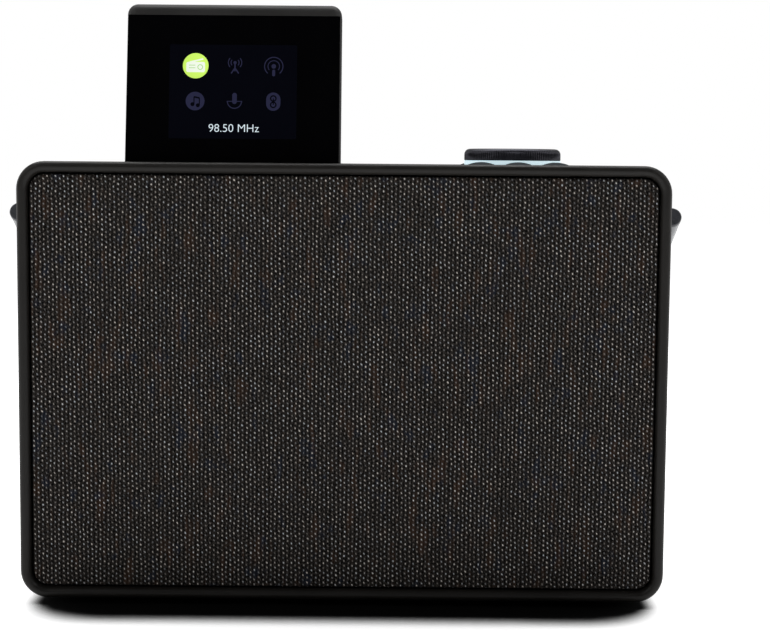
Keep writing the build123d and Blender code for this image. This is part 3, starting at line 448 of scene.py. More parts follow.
def circuit_board():
    """Green solder mask over copper tracks."""
    material, tree, shader, place = new_finish("circuit_board")
    tracks = add(tree, "ShaderNodeTexBrick", {
        "Vector": place, "Scale": 240.0, "Mortar Size": 0.05, "Brick Width": 0.9, "Row Height": 0.3,
        "Color1": (*BLACK, 1.0), "Color2": (0.2, 0.2, 0.2, 1.0), "Mortar": (*WHITE, 1.0)})
    cloth = noise(tree, place, 2400.0, 2.0)
    mask = mixed(tree, ranged(tree, cloth, 0.3, 0.7), (0.008, 0.055, 0.022), (0.014, 0.085, 0.035))
    feed(tree, shader.inputs["Base Color"], mixed(tree, tracks.outputs["Color"], mask, (0.05, 0.20, 0.07)))
    feed(tree, shader.inputs["Roughness"], ranged(tree, cloth, 0.3, 0.7, 0.25, 0.40, smooth=False))
    bumped(tree, shader, tracks.outputs["Color"], 0.03 * MM)


def all_finishes():
    """One material for each slot of the record."""
    # name, colour, grain in features a metre, depth of its relief in millimetres, roughness from and to
    grained("shell_plastic", (0.0090, 0.0080, 0.0070), 2600, 0.010, (0.38, 0.50), specular=0.2)
    grained("cover_plastic", (0.017, 0.016, 0.015), 1500, 0.030, (0.50, 0.62))
    grained("foot_rubber", (0.012, 0.012, 0.012), 1800, 0.03, (0.75, 0.9), specular=0.3)
    grained("screw_steel", (0.10, 0.10, 0.105), 2500, 0.006, (0.30, 0.42), metallic=0.9)
    grained("frame_plastic", (0.014, 0.014, 0.014), 1500, 0.02, (0.55, 0.7))
    grained("basket_steel", (0.03, 0.03, 0.034), 900, 0.02, (0.40, 0.5), metallic=0.2)
    grained("surround_rubber", (0.010, 0.010, 0.010), 2500, 0.01, (0.6, 0.75))
    grained("cone_paper", (0.035, 0.033, 0.030), 1200, 0.05, (0.8, 0.95), spread=(0.6, 1.4))
    grained("magnet_ferrite", (0.09, 0.09, 0.10), 1600, 0.02, (0.55, 0.7))
    grained("port_plastic", (0.010, 0.010, 0.010), 2400, 0.004, (0.22, 0.32))
    grained("display_case", (0.019, 0.0185, 0.018), 3000, 0.006, (0.46, 0.56), specular=0.18)
    grained("lcd_stack", (0.012, 0.012, 0.016), 3000, 0.003, (0.2, 0.3))
    grained("hinge_steel", (0.45, 0.45, 0.46), 1500, 0.003, (0.22, 0.34), metallic=1.0, stretch=(0.05, 1, 1))
    grained("encoder_metal", (0.40, 0.40, 0.38), 2400, 0.004, (0.3, 0.42), metallic=0.9)
    grained("encoder_plastic", (0.03, 0.03, 0.034), 2000, 0.01, (0.4, 0.55))
    grained("button_plastic", (0.016, 0.022, 0.027), 3200, 0.005, (0.50, 0.62), specular=0.05)
    grained("sink_aluminium", (0.52, 0.52, 0.53), 1400, 0.006, (0.36, 0.5), metallic=1.0,
            stretch=(1, 1, 0.04))
    grained("socket_plastic", (0.013, 0.013, 0.013), 2600, 0.006, (0.35, 0.45))
    grained("socket_metal", (0.55, 0.55, 0.54), 2600, 0.003, (0.22, 0.32), metallic=1.0)
    grained("battery_wrap", (0.014, 0.045, 0.10), 700, 0.03, (0.24, 0.36), cloud=35)
    grained("contact_brass", (0.62, 0.44, 0.17), 2400, 0.003, (0.2, 0.32), metallic=1.0)
    grained("bush_acetal", (0.02, 0.02, 0.021), 2400, 0.005, (0.35, 0.45))
    grained("handle_metal", (0.10, 0.103, 0.108), 2600, 0.008, (0.26, 0.38), metallic=0.85)
    grained("grip_rubber", (0.013, 0.013, 0.013), 2200, 0.02, (0.62, 0.8), specular=0.35)
    grained("cap_plastic", (0.013, 0.015, 0.021), 1500, 0.05, (0.5, 0.66), spread=(0.5, 1.6))
    grained("aerial_plastic", (0.014, 0.014, 0.015), 2400, 0.005, (0.34, 0.44))
    grained("aerial_chrome", (0.50, 0.50, 0.51), 1800, 0.002, (0.10, 0.18), metallic=1.0,
            stretch=(0.03, 1, 1))
    spun_cap(bpy.context.scene.radio_dial.colour)
    painted_reflection_ring()
    black_glass()
    circuit_board()


def plain_of(slot):
    """The frame's own plain material of a slot."""
    material = bpy.data.materials.get(slot)
    if material is None:
        raise RuntimeError(f"the frame has no material for {slot}")
    return material


# ---- mesh helpers ------------------------------------------------------------------------

def mesh_piece(name, points, faces, smooth=True):
    """A new mesh object from points in metres."""
    mesh = bpy.data.meshes.new(name)
    mesh.from_pydata([tuple(p) for p in points], [], faces)
    mesh.validate()
    mesh.update()
    if smooth:
        mesh.shade_smooth()
    piece = bpy.data.objects.new(name, mesh)
    bpy.context.scene.collection.objects.link(piece)
    return piece


def sharpen(piece, degrees):
    """Marks edges over an angle as sharp, so that flat faces stay flat."""
    build = bmesh.new()
    build.from_mesh(piece.data)
    bmesh.ops.recalc_face_normals(build, faces=build.faces)
    limit = math.radians(degrees)
    for edge in build.edges:
        edge.smooth = len(edge.link_faces) == 2 and edge.calc_face_angle() < limit
    build.to_mesh(piece.data)
    build.free()


def settle(piece, body, slot, material, *replaced):
    """Material, body and the CAD nodes that a piece stands for, which are hidden. The slot is not used."""
    piece.data.materials.clear()
    piece.data.materials.append(material)
    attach(piece, body)
    if replaced:
        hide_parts(*replaced)


def lathe(profile, segments, ridge=None):
    """Points and faces of a profile of (radius, height) turned about Z.

    ridge(angle, step) says how far a point is moved inward.
    """
    points, faces, rings = [], [], []
    for step, (radius, height) in enumerate(profile):
        if radius == 0:
            rings.append([len(points)])
            points.append((0.0, 0.0, height))
            continue
        ring = []
        for i in range(segments):
            angle = 2 * math.pi * i / segments
            r = radius - (ridge(angle, step) if ridge else 0.0)
            ring.append(len(points))
            points.append((r * math.cos(angle), r * math.sin(angle), height))
        rings.append(ring)
    for low, high in zip(rings, rings[1:]):
        for i in range(segments):
            k = (i + 1) % segments
            if len(low) == 1:
                faces.append((low[0], high[k], high[i]))
            elif len(high) == 1:
                faces.append((low[i], low[k], high[0]))
            else:
                faces.append((low[i], low[k], high[k], high[i]))
    return points, faces


def quad_grid(across, up):
    """The faces of a grid of points, row by row."""
    row = across + 1
    return [
        (j * row + i, j * row + i + 1, (j + 1) * row + i + 1, (j + 1) * row + i)
        for j in range(up)
        for i in range(across)
    ]


def placed(points, matrix):
    """Points moved by a matrix."""
    return [matrix @ Vector(p) for p in points]


def arc(radius, start, end, steps, centre=(0.0, 0.0)):
    """Points on an arc, angles in degrees."""
    angles = [math.radians(start + (end - start) * i / steps) for i in range(steps + 1)]
    return [(centre[0] + radius * math.cos(a), centre[1] + radius * math.sin(a)) for a in angles]


class Drawing:
    """Flat shapes in millimetres, kept as polygons."""

    def __init__(self):
        self.points = []
        self.faces = []

    def polygon(self, corners):
        """One flat face."""
        first = len(self.points)
        self.points += list(corners)
        self.faces.append(tuple(range(first, first + len(corners))))

    def disc(self, x, y, radius, steps=48):
        """A filled circle."""
        self.polygon(arc(radius, 0, 360 * (steps - 1) / steps, steps - 1, (x, y)))

    def band(self, x, y, inner, outer, start=0, end=360, steps=48):
        """A ring, or a part of one between two angles in degrees."""
        low = arc(inner, start, end, steps, (x, y))
        high = arc(outer, start, end, steps, (x, y))
        for i in range(steps):
            self.polygon([low[i], high[i], high[i + 1], low[i + 1]])

    def line(self, x1, y1, x2, y2, width):
        """A straight stroke."""
        along = Vector((x2 - x1, y2 - y1)).normalized() * width / 2
        side = Vector((-along.y, along.x))
        a, b = Vector((x1, y1)), Vector((x2, y2))
        self.polygon([tuple(a - side), tuple(b - side), tuple(b + side), tuple(a + side)])

    def rounded(self, x, y, width, height, radius, steps=6):
        """A filled rectangle with round corners."""
        corners = []
        for sx, sy, start in ((1, -1, -90), (1, 1, 0), (-1, 1, 90), (-1, -1, 180)):
            centre = (x + sx * (width / 2 - radius), y + sy * (height / 2 - radius))
            corners += arc(radius, start, start + 90, steps, centre)
        self.polygon(corners)

    def piece(self, name, matrix, thickness):
        """The drawing as a thin closed piece. The matrix takes the drawing's plane to the frame."""
        points = [matrix @ Vector((x * MM, y * MM, 0.0)) for x, y in self.points]
        piece = mesh_piece(name, points, self.faces, smooth=False)
        build = bmesh.new()
        build.from_mesh(piece.data)
        bmesh.ops.remove_doubles(build, verts=build.verts, dist=1e-6)
        build.normal_update()
        outward = (matrix.to_3x3() @ Vector((0, 0, 1))).normalized()
        for face in build.faces:
            if face.normal.dot(outward) < 0:
                face.normal_flip()
        grown = bmesh.ops.extrude_face_region(build, geom=build.faces[:])
        lifted = [v for v in grown["geom"] if isinstance(v, bmesh.types.BMVert)]
        bmesh.ops.translate(build, verts=lifted, vec=outward * thickness)
        bmesh.ops.recalc_face_normals(build, faces=build.faces)
        build.to_mesh(piece.data)
        build.free()
        return piece


# ---- cloth -------------------------------------------------------------------------------

def cloth_grid(settings):
    """The cloth's pitches, fitted so that whole columns and rows fill its flat front."""
    width = CLOTH_HIGH.x - CLOTH_LOW.x - 2 * settings.edge_round
    height = CLOTH_HIGH.z - CLOTH_LOW.z - 2 * settings.edge_round
    across = 2 * round(width / settings.column_pitch)
    up = 3 * round(height / settings.fleck_pitch)
    return width, height, across, up


def weave_height(x, z, column_pitch, fleck_pitch, relief):
    """How far the woven surface stands towards the front."""
    column = np.round(x / column_pitch)
    step = 0.5 * (np.abs(column) % 2)
    ridge = 0.5 + 0.5 * np.cos(2 * np.pi * x / column_pitch)
    knot = 0.5 + 0.5 * np.cos(2 * np.pi * (z / fleck_pitch + step))
    return relief * (ridge * (0.35 + 0.65 * knot) - 0.5)


def build_cloth(settings):
    """The stretched cloth: a woven height field that turns back round its frame."""
    width, height, across, up = cloth_grid(settings)
    column_pitch = 2 * width / across
    fleck_pitch = 3 * height / up
    x = np.linspace(0, width, across + 1)[None, :].repeat(up + 1, 0)
    z = np.linspace(0, height, up + 1)[:, None].repeat(across + 1, 1)
    inner = settings.corner_radius - settings.edge_round
    dx, dz = x - width / 2, z - height / 2
    over_x = np.maximum(np.abs(dx) - (width / 2 - inner), 0)
    over_z = np.maximum(np.abs(dz) - (height / 2 - inner), 0)
    reach = np.hypot(over_x, over_z)
    shrink = np.where(reach > 0, np.maximum(over_x, over_z) / np.maximum(reach, 1e-12), 1.0)
    px = np.sign(dx) * (np.abs(dx) - over_x + over_x * shrink) + width / 2
    pz = np.sign(dz) * (np.abs(dz) - over_z + over_z * shrink) + height / 2
    rise = weave_height(px, pz, column_pitch, fleck_pitch, settings.relief)
    edge = np.minimum(np.minimum(x, width - x), np.minimum(z, height - z))
    rise *= np.clip(edge / (2 * settings.edge_round), 0, 1)
    rng = np.random.default_rng(41)
    rise += rng.normal(0, 0.08 * settings.relief, rise.shape) * (edge > 0)
    mean = CLOTH_LOW.y + 0.5 * settings.relief
    low_x = CLOTH_LOW.x + settings.edge_round
    low_z = CLOTH_LOW.z + settings.edge_round
    points = np.stack([px + low_x, mean - rise, pz + low_z], -1).reshape(-1, 3).tolist()
    faces = quad_grid(across, up)
    row = across + 1
    rim = (
        list(range(across))
        + [j * row + across for j in range(up)]
        + [up * row + i for i in range(across, 0, -1)]
        + [j * row for j in range(up, 0, -1)]
    )
    # the turned edge, as steps out and back, and then the straight skirt
    bend = settings.edge_round
    skirt = CLOTH_HIGH.y - CLOTH_LOW.y
    profile = [(bend * math.sin(a), bend * (1 - math.cos(a))) for a in map(math.radians, (30, 60, 90))]
    profile += [(bend, bend + (skirt - bend) * k / 4) for k in range(1, 5)]
    middle = Vector((low_x + width / 2, 0, low_z + height / 2))
    outward = []
    for v in rim:
        p = Vector(points[v]) - middle
        ox = max(abs(p.x) - (width / 2 - inner), 0.0)
        oz = max(abs(p.z) - (height / 2 - inner), 0.0)
        outward.append(Vector((math.copysign(ox, p.x), 0, math.copysign(oz, p.z))).normalized())
    before = rim
    for out, back in profile:
        ring = []
        for number, v in enumerate(rim):
            p = Vector(points[v])
            q = p + outward[number] * out
            ring.append(len(points))
            points.append((q.x, mean + back * (1 - 0.5 * settings.relief / skirt), q.z))
        for i in range(len(rim)):
            k = (i + 1) % len(rim)
            faces.append((before[k], before[i], ring[i], ring[k]))
        before = ring
    piece = mesh_piece("grille_cloth", points, faces)
    material = woven_cloth(settings, column_pitch, fleck_pitch, (low_x, low_z))
    settle(piece, "root", "grille_cloth", material, "grille_fabric")


# ---- dial --------------------------------------------------------------------------------

def build_dial(settings):
    """The knurled cap of the dial."""
    radius = (DIAL_HIGH.x - DIAL_LOW.x) / 2
    height = DIAL_HIGH.z - DIAL_LOW.z
    top_round, dish = settings.top_round, settings.dish
    lip = radius - top_round - 1.2 * MM
    # radius, height and share of the tooth depth, from the underside's middle to the top's middle
    profile = [
        (0.0, 0.3 * MM, 0),
        (radius - 5.0 * MM, 0.3 * MM, 0),
        (radius - 0.9 * MM, 0.0, 0),
        (radius - 0.25 * MM, 0.02 * MM, 0),
        (radius - 0.02 * MM, 0.25 * MM, 0.3),
        (radius, 0.5 * MM, 1),
        (radius, 0.45 * height, 1),
    ]
    fading = (1, 1, 0.9, 0.75, 0.5, 0.25, 0.08, 0)
    for (dx, dz), share in zip(arc(top_round, 0, 90, len(fading) - 1), fading):
        profile.append((radius - top_round + dx, height - top_round + dz, share))
    profile += [
        (lip, height - 0.02 * MM, 0),
        (lip - 0.35 * MM, height - 0.6 * dish, 0),
        (lip - 1.0 * MM, height - dish, 0),
        (0.66 * lip, height - dish, 0),
        (0.33 * lip, height - dish, 0),
        (0.0, height - dish, 0),
    ]

    def ridge(angle, step):
        return profile[step][2] * settings.tooth_depth * (0.5 - 0.5 * math.cos(settings.teeth * angle))

    points, faces = lathe([row[:2] for row in profile], 4 * settings.teeth, ridge)
    place = Matrix.Translation((DIAL_MIDDLE.x, DIAL_MIDDLE.y, DIAL_LOW.z))
    piece = mesh_piece("dial_cap", placed(points, place), faces)
    sharpen(piece, 50)
    settle(piece, "dial", "dial_black", plain_of("dial_black"), "dial_knob")


# ---- screen ------------------------------------------------------------------------------

def screen_plane(settings, lift):
    """Takes the screen's own plane, right and up from the middle of the lit area, to the frame."""
    axis = Vector(JOINTS["display_fold"]["pos_m"])
    right = Vector((1, 0, 0))
    up = Vector((0, math.sin(settings.lean), math.cos(settings.lean)))
    out = right.cross(up)
    origin = axis + up * settings.centre + out * (settings.face + lift)
    return Matrix.Translation(origin) @ Matrix((right, up, out)).transposed().to_4x4()


def idle_symbols():
    """The five symbols that aren't chosen: mast, cast, note, microphone and cable-free link."""
    page = Drawing()
    # mast with waves
    page.line(MIDDLE, UPPER - 2.0, MIDDLE, UPPER + 1.0, 0.5)
    page.disc(MIDDLE, UPPER + 1.3, 0.6, 24)
    for radius in (1.5, 2.5):
        page.band(MIDDLE, UPPER + 1.3, radius - 0.17, radius + 0.17, -42, 42, 12)
        page.band(MIDDLE, UPPER + 1.3, radius - 0.17, radius + 0.17, 138, 222, 12)
    page.line(MIDDLE - 1.4, UPPER - 2.8, MIDDLE, UPPER - 0.7, 0.45)
    page.line(MIDDLE + 1.4, UPPER - 2.8, MIDDLE, UPPER - 0.7, 0.45)
    # round broadcast mark
    page.band(RIGHT, UPPER, 3.25, 3.6, -50, 230, 44)
    page.band(RIGHT, UPPER, 2.0, 2.3, -40, 220, 36)
    page.disc(RIGHT, UPPER, 0.85, 24)
    page.rounded(RIGHT, UPPER - 2.5, 1.1, 2.5, 0.5)
    # grounds of the note and of the link
    page.disc(LEFT, LOWER, 3.5, 56)
    page.rounded(RIGHT, LOWER, 5.3, 6.9, 2.6)
    # microphone
    page.rounded(MIDDLE, LOWER + 1.1, 1.7, 4.2, 0.84)
    page.band(MIDDLE, LOWER, 2.45, 2.8, 180, 360, 28)
    page.line(MIDDLE - 2.9, LOWER, MIDDLE + 2.9, LOWER, 0.3)
    return page


def sunk_marks():
    """The dark note and the dark link on their grounds."""
    page = Drawing()
    page.disc(LEFT - 0.95, LOWER - 1.2, 0.75, 24)
    page.line(LEFT - 0.4, LOWER - 1.2, LEFT - 0.4, LOWER + 1.7, 0.4)
    page.line(LEFT - 0.4, LOWER + 1.6, LEFT + 1.6, LOWER + 1.15, 0.6)
    page.disc(LEFT + 1.05, LOWER - 1.6, 0.75, 24)
    page.line(LEFT + 1.6, LOWER - 1.6, LEFT + 1.6, LOWER + 1.2, 0.4)
    for lift in (-1.2, 1.2):
        page.band(RIGHT, LOWER + lift, 0.75, 1.25, 0, 360, 40)
    page.line(RIGHT, LOWER - 1.2, RIGHT, LOWER + 1.2, 0.4)
    return page


def build_screen(settings):
    """The lit picture on the display, in thin layers on the glass."""
    field = Drawing()
    field.rounded(0, 0, settings.width / MM, settings.height / MM, 0.6)
    disc = Drawing()
    disc.disc(LEFT, UPPER, DISC_RADIUS, 96)
    # chosen symbol: a small receiver with its aerial
    glyph = Drawing()
    glyph.rounded(LEFT, UPPER - 0.5, 7.0, 3.9, 0.7)
    glyph.line(LEFT - 2.3, UPPER + 1.3, LEFT + 2.8, UPPER + 2.6, 0.6)
    marks = Drawing()
    marks.band(LEFT + 1.7, UPPER - 0.5, 0.75, 1.05, 0, 360, 32)
    marks.line(LEFT - 2.5, UPPER + 0.2, LEFT - 0.1, UPPER + 0.2, 0.26)
    marks.line(LEFT - 2.5, UPPER - 0.8, LEFT - 0.1, UPPER - 0.8, 0.26)
    # each page with its name, its number of layers above the glass and its colour
    for page, name, layers, colour in (
            (field, "screen_field", 0, settings.field_colour),
            (disc, "screen_chosen_disc", 1, settings.active_colour),
            (idle_symbols(), "screen_symbols", 1, settings.idle_colour),
            (sunk_marks(), "screen_symbol_marks", 2, settings.field_colour),
            (glyph, "screen_receiver", 2, (0.93, 1.0, 0.86)),
            (marks, "screen_receiver_marks", 3, (0.42, 0.74, 0.25))):
        piece = page.piece(name, screen_plane(settings, layers * LAYER), LAYER)
        settle(piece, "display", "lcd_stack", screen_light(name, colour))
    print_label(settings)


def print_label(settings):
    """The line of text under the symbols."""
    words = bpy.data.curves.new("screen_label", "FONT")
    words.body = settings.label
    words.align_x, words.align_y = "CENTER", "CENTER"
    words.extrude = LAYER / 2
    # thinner strokes than the font's own, at the size that it is first set in
    words.size = 4.0 * MM
    words.offset = -0.05 * MM
    words.resolution_u = 6
    text = bpy.data.objects.new("screen_label", words)
    bpy.context.scene.collection.objects.link(text)
    bpy.context.view_layer.update()
    mesh = bpy.data.meshes.new_from_object(text.evaluated_get(bpy.context.evaluated_depsgraph_get()))
    bpy.data.objects.remove(text)
    width = max(v.co.x for v in mesh.vertices) - min(v.co.x for v in mesh.vertices)
    mesh.transform(Matrix.Scale(LABEL_WIDTH * MM / width, 4))
    label = bpy.data.objects.new("screen_label", mesh)
    bpy.context.scene.collection.objects.link(label)
    place = Matrix.Translation((LABEL_PLACE[0] * MM, LABEL_PLACE[1] * MM, 0))
    mesh.transform(screen_plane(settings, 1.6 * LAYER) @ place)
    settle(label, "display", "lcd_stack", screen_light("screen_label", settings.label_colour, 1.05))


# ---- handle grip -------------------------------------------------------------------------

def build_grip(settings):
    """The ribbed rubber sleeve on the handle's crossbar."""
    radius = (GRIP_HIGH.z - GRIP_LOW.z) / 2
    length = GRIP_HIGH.x - GRIP_LOW.x
    bore = radius - 0.88 * MM
    end = 0.45 * MM
    segments = 48
    # one rib along the pitch: share of the pitch and share of the groove's depth
    rib = ((0.0, 0.0), (0.12, 0.7), (0.25, 1.0), (0.38, 0.7), (0.5, 0.0), (0.75, 0.0))
    profile = [(bore, 0.0), (radius - end, 0.0)]
    profile += [(radius - end + dx, end - dz) for dx, dz in reversed(arc(end, 0, 90, 4))][1:]
    ribs = int((length - 2 * settings.plain_end) / settings.rib_pitch)
    start = (length - ribs * settings.rib_pitch) / 2
    for i in range(ribs):
        low = start + i * settings.rib_pitch
        for share, drop in rib:
            profile.append((radius - drop * settings.rib_depth, low + share * settings.rib_pitch))
    profile += [(radius - end + dx, length - end + dz) for dx, dz in arc(end, 0, 90, 4)]
    profile += [(bore, length)]
    points, faces = lathe(profile, segments)
    last = (len(profile) - 1) * segments
    for i in range(segments):
        k = (i + 1) % segments
        faces.append((last + i, last + k, k, i))
    place = Matrix.Translation((GRIP_LOW.x, GRIP_MIDDLE.y, GRIP_MIDDLE.z))
    place = place @ Matrix.Rotation(math.radians(90), 4, "Y")
    piece = mesh_piece("handle_grip_sleeve", placed(points, place), faces)
    sharpen(piece, 40)
    settle(piece, "handle", "grip_rubber", plain_of("grip_rubber"), "handle_grip")


# ---- rear --------------------------------------------------------------------------------

def screw_shape():
    """One cover screw along +Z, with its head at the top: pan head, cross recess and thread."""
    core, crest, pitch, turns = 1.15 * MM, 1.5 * MM, 0.8 * MM, 14
    thread = []
    for i in range(turns):
        low = 0.6 * MM + i * pitch
        thread += [(core, low), (crest, low + pitch / 2)]
    length, rim = 13.4 * MM, 0.7 * MM
    head = [(2.8 * MM, length), (2.8 * MM, length + rim)]
    head += [(1.2 * MM + dx, length + rim + dz * 0.65) for dx, dz in arc(1.6 * MM, 15, 90, 5)]
    profile = [(0.0, 0.0), (0.8 * MM, 0.05 * MM)] + thread + [(1.4 * MM, length)] + head
    profile.append((0.0, length + rim + 1.04 * MM))
    points, faces = lathe(profile, 36)
    piece = mesh_piece("screw_blank", points, faces)
    sharpen(piece, 40)
    # the recess is cut by two crossed wedges, from above the head down to its bottom
    top = length + 1.8 * MM
    wedge = [
        (sx * long, sy * thick, z)
        for z, long, thick in ((top + 0.3 * MM, 1.75 * MM, 0.34 * MM), (top - 1.35 * MM, 0.7 * MM, 0.2 * MM))
        for sx, sy in ((-1, -1), (1, -1), (1, 1), (-1, 1))
    ]
    sides = [(0, 1, 2, 3), (7, 6, 5, 4), (0, 4, 5, 1), (1, 5, 6, 2), (2, 6, 7, 3), (3, 7, 4, 0)]
    for number, corners in enumerate((wedge, [(-y, x, z) for x, y, z in wedge])):
        cutter = mesh_piece(f"screw_cutter_{number}", corners, sides, smooth=False)
        sharpen(cutter, 10)
        recess = piece.modifiers.new("Recess", "BOOLEAN")
        recess.operation, recess.solver, recess.object = "DIFFERENCE", "EXACT", cutter
    bpy.context.view_layer.update()
    mesh = bpy.data.meshes.new_from_object(piece.evaluated_get(bpy.context.evaluated_depsgraph_get()))
    for name in ("screw_cutter_0", "screw_cutter_1", "screw_blank"):
        bpy.data.objects.remove(bpy.data.objects[name])
    return mesh


def islands(node):
    """The box of each separate solid of a CAD node."""
    build = bmesh.new()
    build.from_mesh(frame["nodes"][node].data)
    bmesh.ops.remove_doubles(build, verts=build.verts, dist=1e-6)
    left, boxes = set(build.verts), []
    while left:
        group, queue = [], [left.pop()]
        while queue:
            v = queue.pop()
            group.append(v.co.copy())
            for edge in v.link_edges:
                other = edge.other_vert(v)
                if other in left:
                    left.remove(other)
                    queue.append(other)
        low = Vector([min(c[k] for c in group) for k in range(3)])
        high = Vector([max(c[k] for c in group) for k in range(3)])
        boxes.append((low, high))
    build.free()
    return sorted(boxes, key=lambda box: (round(box[0].x, 4), round(box[0].z, 4)))


def build_screws():
    """The four cover screws, set in their counterbores."""
    shape = screw_shape()
    top = max(v.co.z for v in shape.vertices)
    points, faces = [], []
    for number, (low, high) in enumerate(islands("rear_screws")):
        middle = (low + high) / 2
        # each screw stops at its own angle
        driven = Matrix.Rotation(math.radians(17 + 61 * number), 4, "Z")
        place = Matrix.Translation((middle.x, high.y - top, middle.z))
        place = place @ Matrix.Rotation(math.radians(-90), 4, "X") @ driven
        first = len(points)
        points += [tuple(place @ v.co) for v in shape.vertices]
        faces += [tuple(first + v for v in f.vertices) for f in shape.polygons]
    piece = mesh_piece("rear_cover_screws", points, faces)
    sharpen(piece, 35)
    settle(piece, "root", "screw_steel", plain_of("screw_steel"), "rear_screws")


def socket_marks():
    """Printed symbols above the four sockets, left to right as seen from behind."""
    marks = {}
    service = Drawing()
    service.line(-1.6, 0, 1.4, 0, 0.35)
    service.polygon([(1.2, -0.6), (2.3, 0.0), (1.2, 0.6)])
    service.disc(-1.7, 0, 0.55, 20)
    service.line(-0.7, 0, 0.2, 1.0, 0.3)
    service.line(0.2, 1.0, 0.9, 1.0, 0.3)
    marks["usb_socket"] = service
    line_in = Drawing()
    line_in.band(0, 0, 1.3, 1.6, 40, 320, 30)
    line_in.line(3.0, 0, 0.7, 0, 0.35)
    line_in.polygon([(0.9, -0.65), (0.9, 0.65), (-0.3, 0.0)])
    marks["line_in_socket"] = line_in
    phones = Drawing()
    phones.band(0, -0.3, 1.55, 1.85, 0, 180, 28)
    for side in (-1, 1):
        phones.rounded(side * 1.55, -0.85, 0.75, 1.5, 0.3)
    marks["headphone_socket"] = phones
    power = Drawing()
    power.line(-1.9, 0.45, 1.9, 0.45, 0.3)
    for x in (-1.4, 0.0, 1.4):
        power.line(x - 0.5, -0.35, x + 0.5, -0.35, 0.3)
    marks["dc_socket"] = power
    return marks


def build_marks():
    """The symbols printed in the connector pocket."""
    finish = grained("printed_marks", (0.55, 0.55, 0.54), 3500, 0.003, (0.5, 0.65))
    for node, page in socket_marks().items():
        low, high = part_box(node)
        middle = (low + high) / 2
        plane = Matrix.Translation((middle.x, COVER_BACK - POCKET_DEPTH, middle.z + MARK_RISE))
        plane = plane @ Matrix.Rotation(math.radians(180), 4, "Z") @ Matrix.Rotation(math.radians(90), 4, "X")
        piece = page.piece(f"{node}_mark", plane, MARK_THICKNESS)
        settle(piece, "root", "cover_plastic", finish)


# ---- stage -------------------------------------------------------------------------------

def softbox(name, place, aim_height, width, height, power):
    """A rectangular white lamp at a place, aimed at a point above the origin."""
    lamp = bpy.data.lights.new(name, "AREA")
    lamp.shape = "RECTANGLE"
    lamp.size, lamp.size_y = width, height
    lamp.energy = power
    made = bpy.data.objects.new(name, lamp)
    made.location = place
    aim = Vector((0, 0, aim_height)) - Vector(place)
    made.rotation_euler = aim.to_track_quat("-Z", "Y").to_euler()
    bpy.context.scene.collection.objects.link(made)


def studio_world(settings):
    """White to the camera; for the object, bright behind and above, dim in front."""
    world = bpy.data.worlds.new("studio_world")
    world.use_nodes = True
    tree = world.node_tree
    background = tree.nodes["Background"]
    place = tree.nodes.new("ShaderNodeTexCoord").outputs["Generated"]
    way = add(tree, "ShaderNodeSeparateXYZ", {0: place}).outputs["Y"]
    behind = ranged(tree, way, -0.1, 0.7, 0.03, 0.42)
    seen = tree.nodes.new("ShaderNodeLightPath").outputs["Is Camera Ray"]
    share = calc(tree, "MULTIPLY", seen, 1.0 if settings.white_room else 0.0)
    light = mixed(tree, behind, BLACK, WHITE)
    feed(tree, background.inputs["Color"], mixed(tree, share, light, WHITE))
    background.inputs["Strength"].default_value = 1.0
    bpy.context.scene.world = world


def build_floor(settings):
    """The pale floor, with a contact shadow near the cabinet painted into its colour and its glow."""
    steps = 12
    line = [settings.floor_size * (i / steps - 0.5) for i in range(steps + 1)]
    points = [(x, y, 0.0) for y in line for x in line]
    floor = mesh_piece("studio_floor", points, quad_grid(steps, steps))
    material, tree, shader, place = new_finish("studio_floor")
    low, high = shades(settings.floor_colour, 0.985, 1.0)
    # what stands near, looked for towards the back left and the back right, and the lighter one counts; this
    # darkens the floor as a painted contact shadow
    views = []
    for side in (-0.5, 0.5):
        facing = add(tree, "ShaderNodeCombineXYZ", {"X": side, "Y": 0.7, "Z": 0.5}).outputs[0]
        near = {"Distance": settings.contact, "Normal": facing}
        views.append(add(tree, "ShaderNodeAmbientOcclusion", near, samples=64).outputs["AO"])
    darkest, lightest = 0.58, 0.81
    painted_shadow_mask = ranged(tree, calc(tree, "MAXIMUM", *views), darkest, lightest)
    pale = mixed(tree, noise(tree, place, 2.0, 3.0), low, high)
    feed(tree, shader.inputs["Base Color"], mixed(tree, painted_shadow_mask, BLACK, pale))
    away = add(tree, "ShaderNodeVectorMath", {0: place}, operation="LENGTH").outputs["Value"]
    # the floor also glows, more away from the middle, and the painted contact shadow darkens this glow too
    glow = calc(tree, "MULTIPLY", ranged(tree, away, 0.1, 0.9, 0.62, 1.0), painted_shadow_mask)
    feed(tree, shader.inputs["Emission Color"], mixed(tree, glow, BLACK, WHITE))
    shader.inputs["Emission Strength"].default_value = 1.0
    shader.inputs["Roughness"].default_value = 0.85
    shader.inputs["Specular IOR Level"].default_value = 0.1
    floor.data.materials.append(material)


def build_camera(settings):
    """The camera, in front of the cabinet and level with its top."""
    lens = bpy.data.cameras.new("camera")
    lens.sensor_width = 36.0
    lens.lens = settings.lens
    lens.clip_start, lens.clip_end = 0.01, 50.0
    camera = bpy.data.objects.new("camera", lens)
    stand = (settings.shift_right, BODY_LOW.y - settings.distance, BODY_HIGH.z + settings.rise)
    tilt = Matrix.Rotation(math.radians(90) - settings.pitch, 4, "X")
    camera.matrix_world = Matrix.Translation(stand) @ tilt @ Matrix.Rotation(settings.roll, 4, "Z")
    bpy.context.scene.collection.objects.link(camera)
    bpy.context.scene.camera = camera


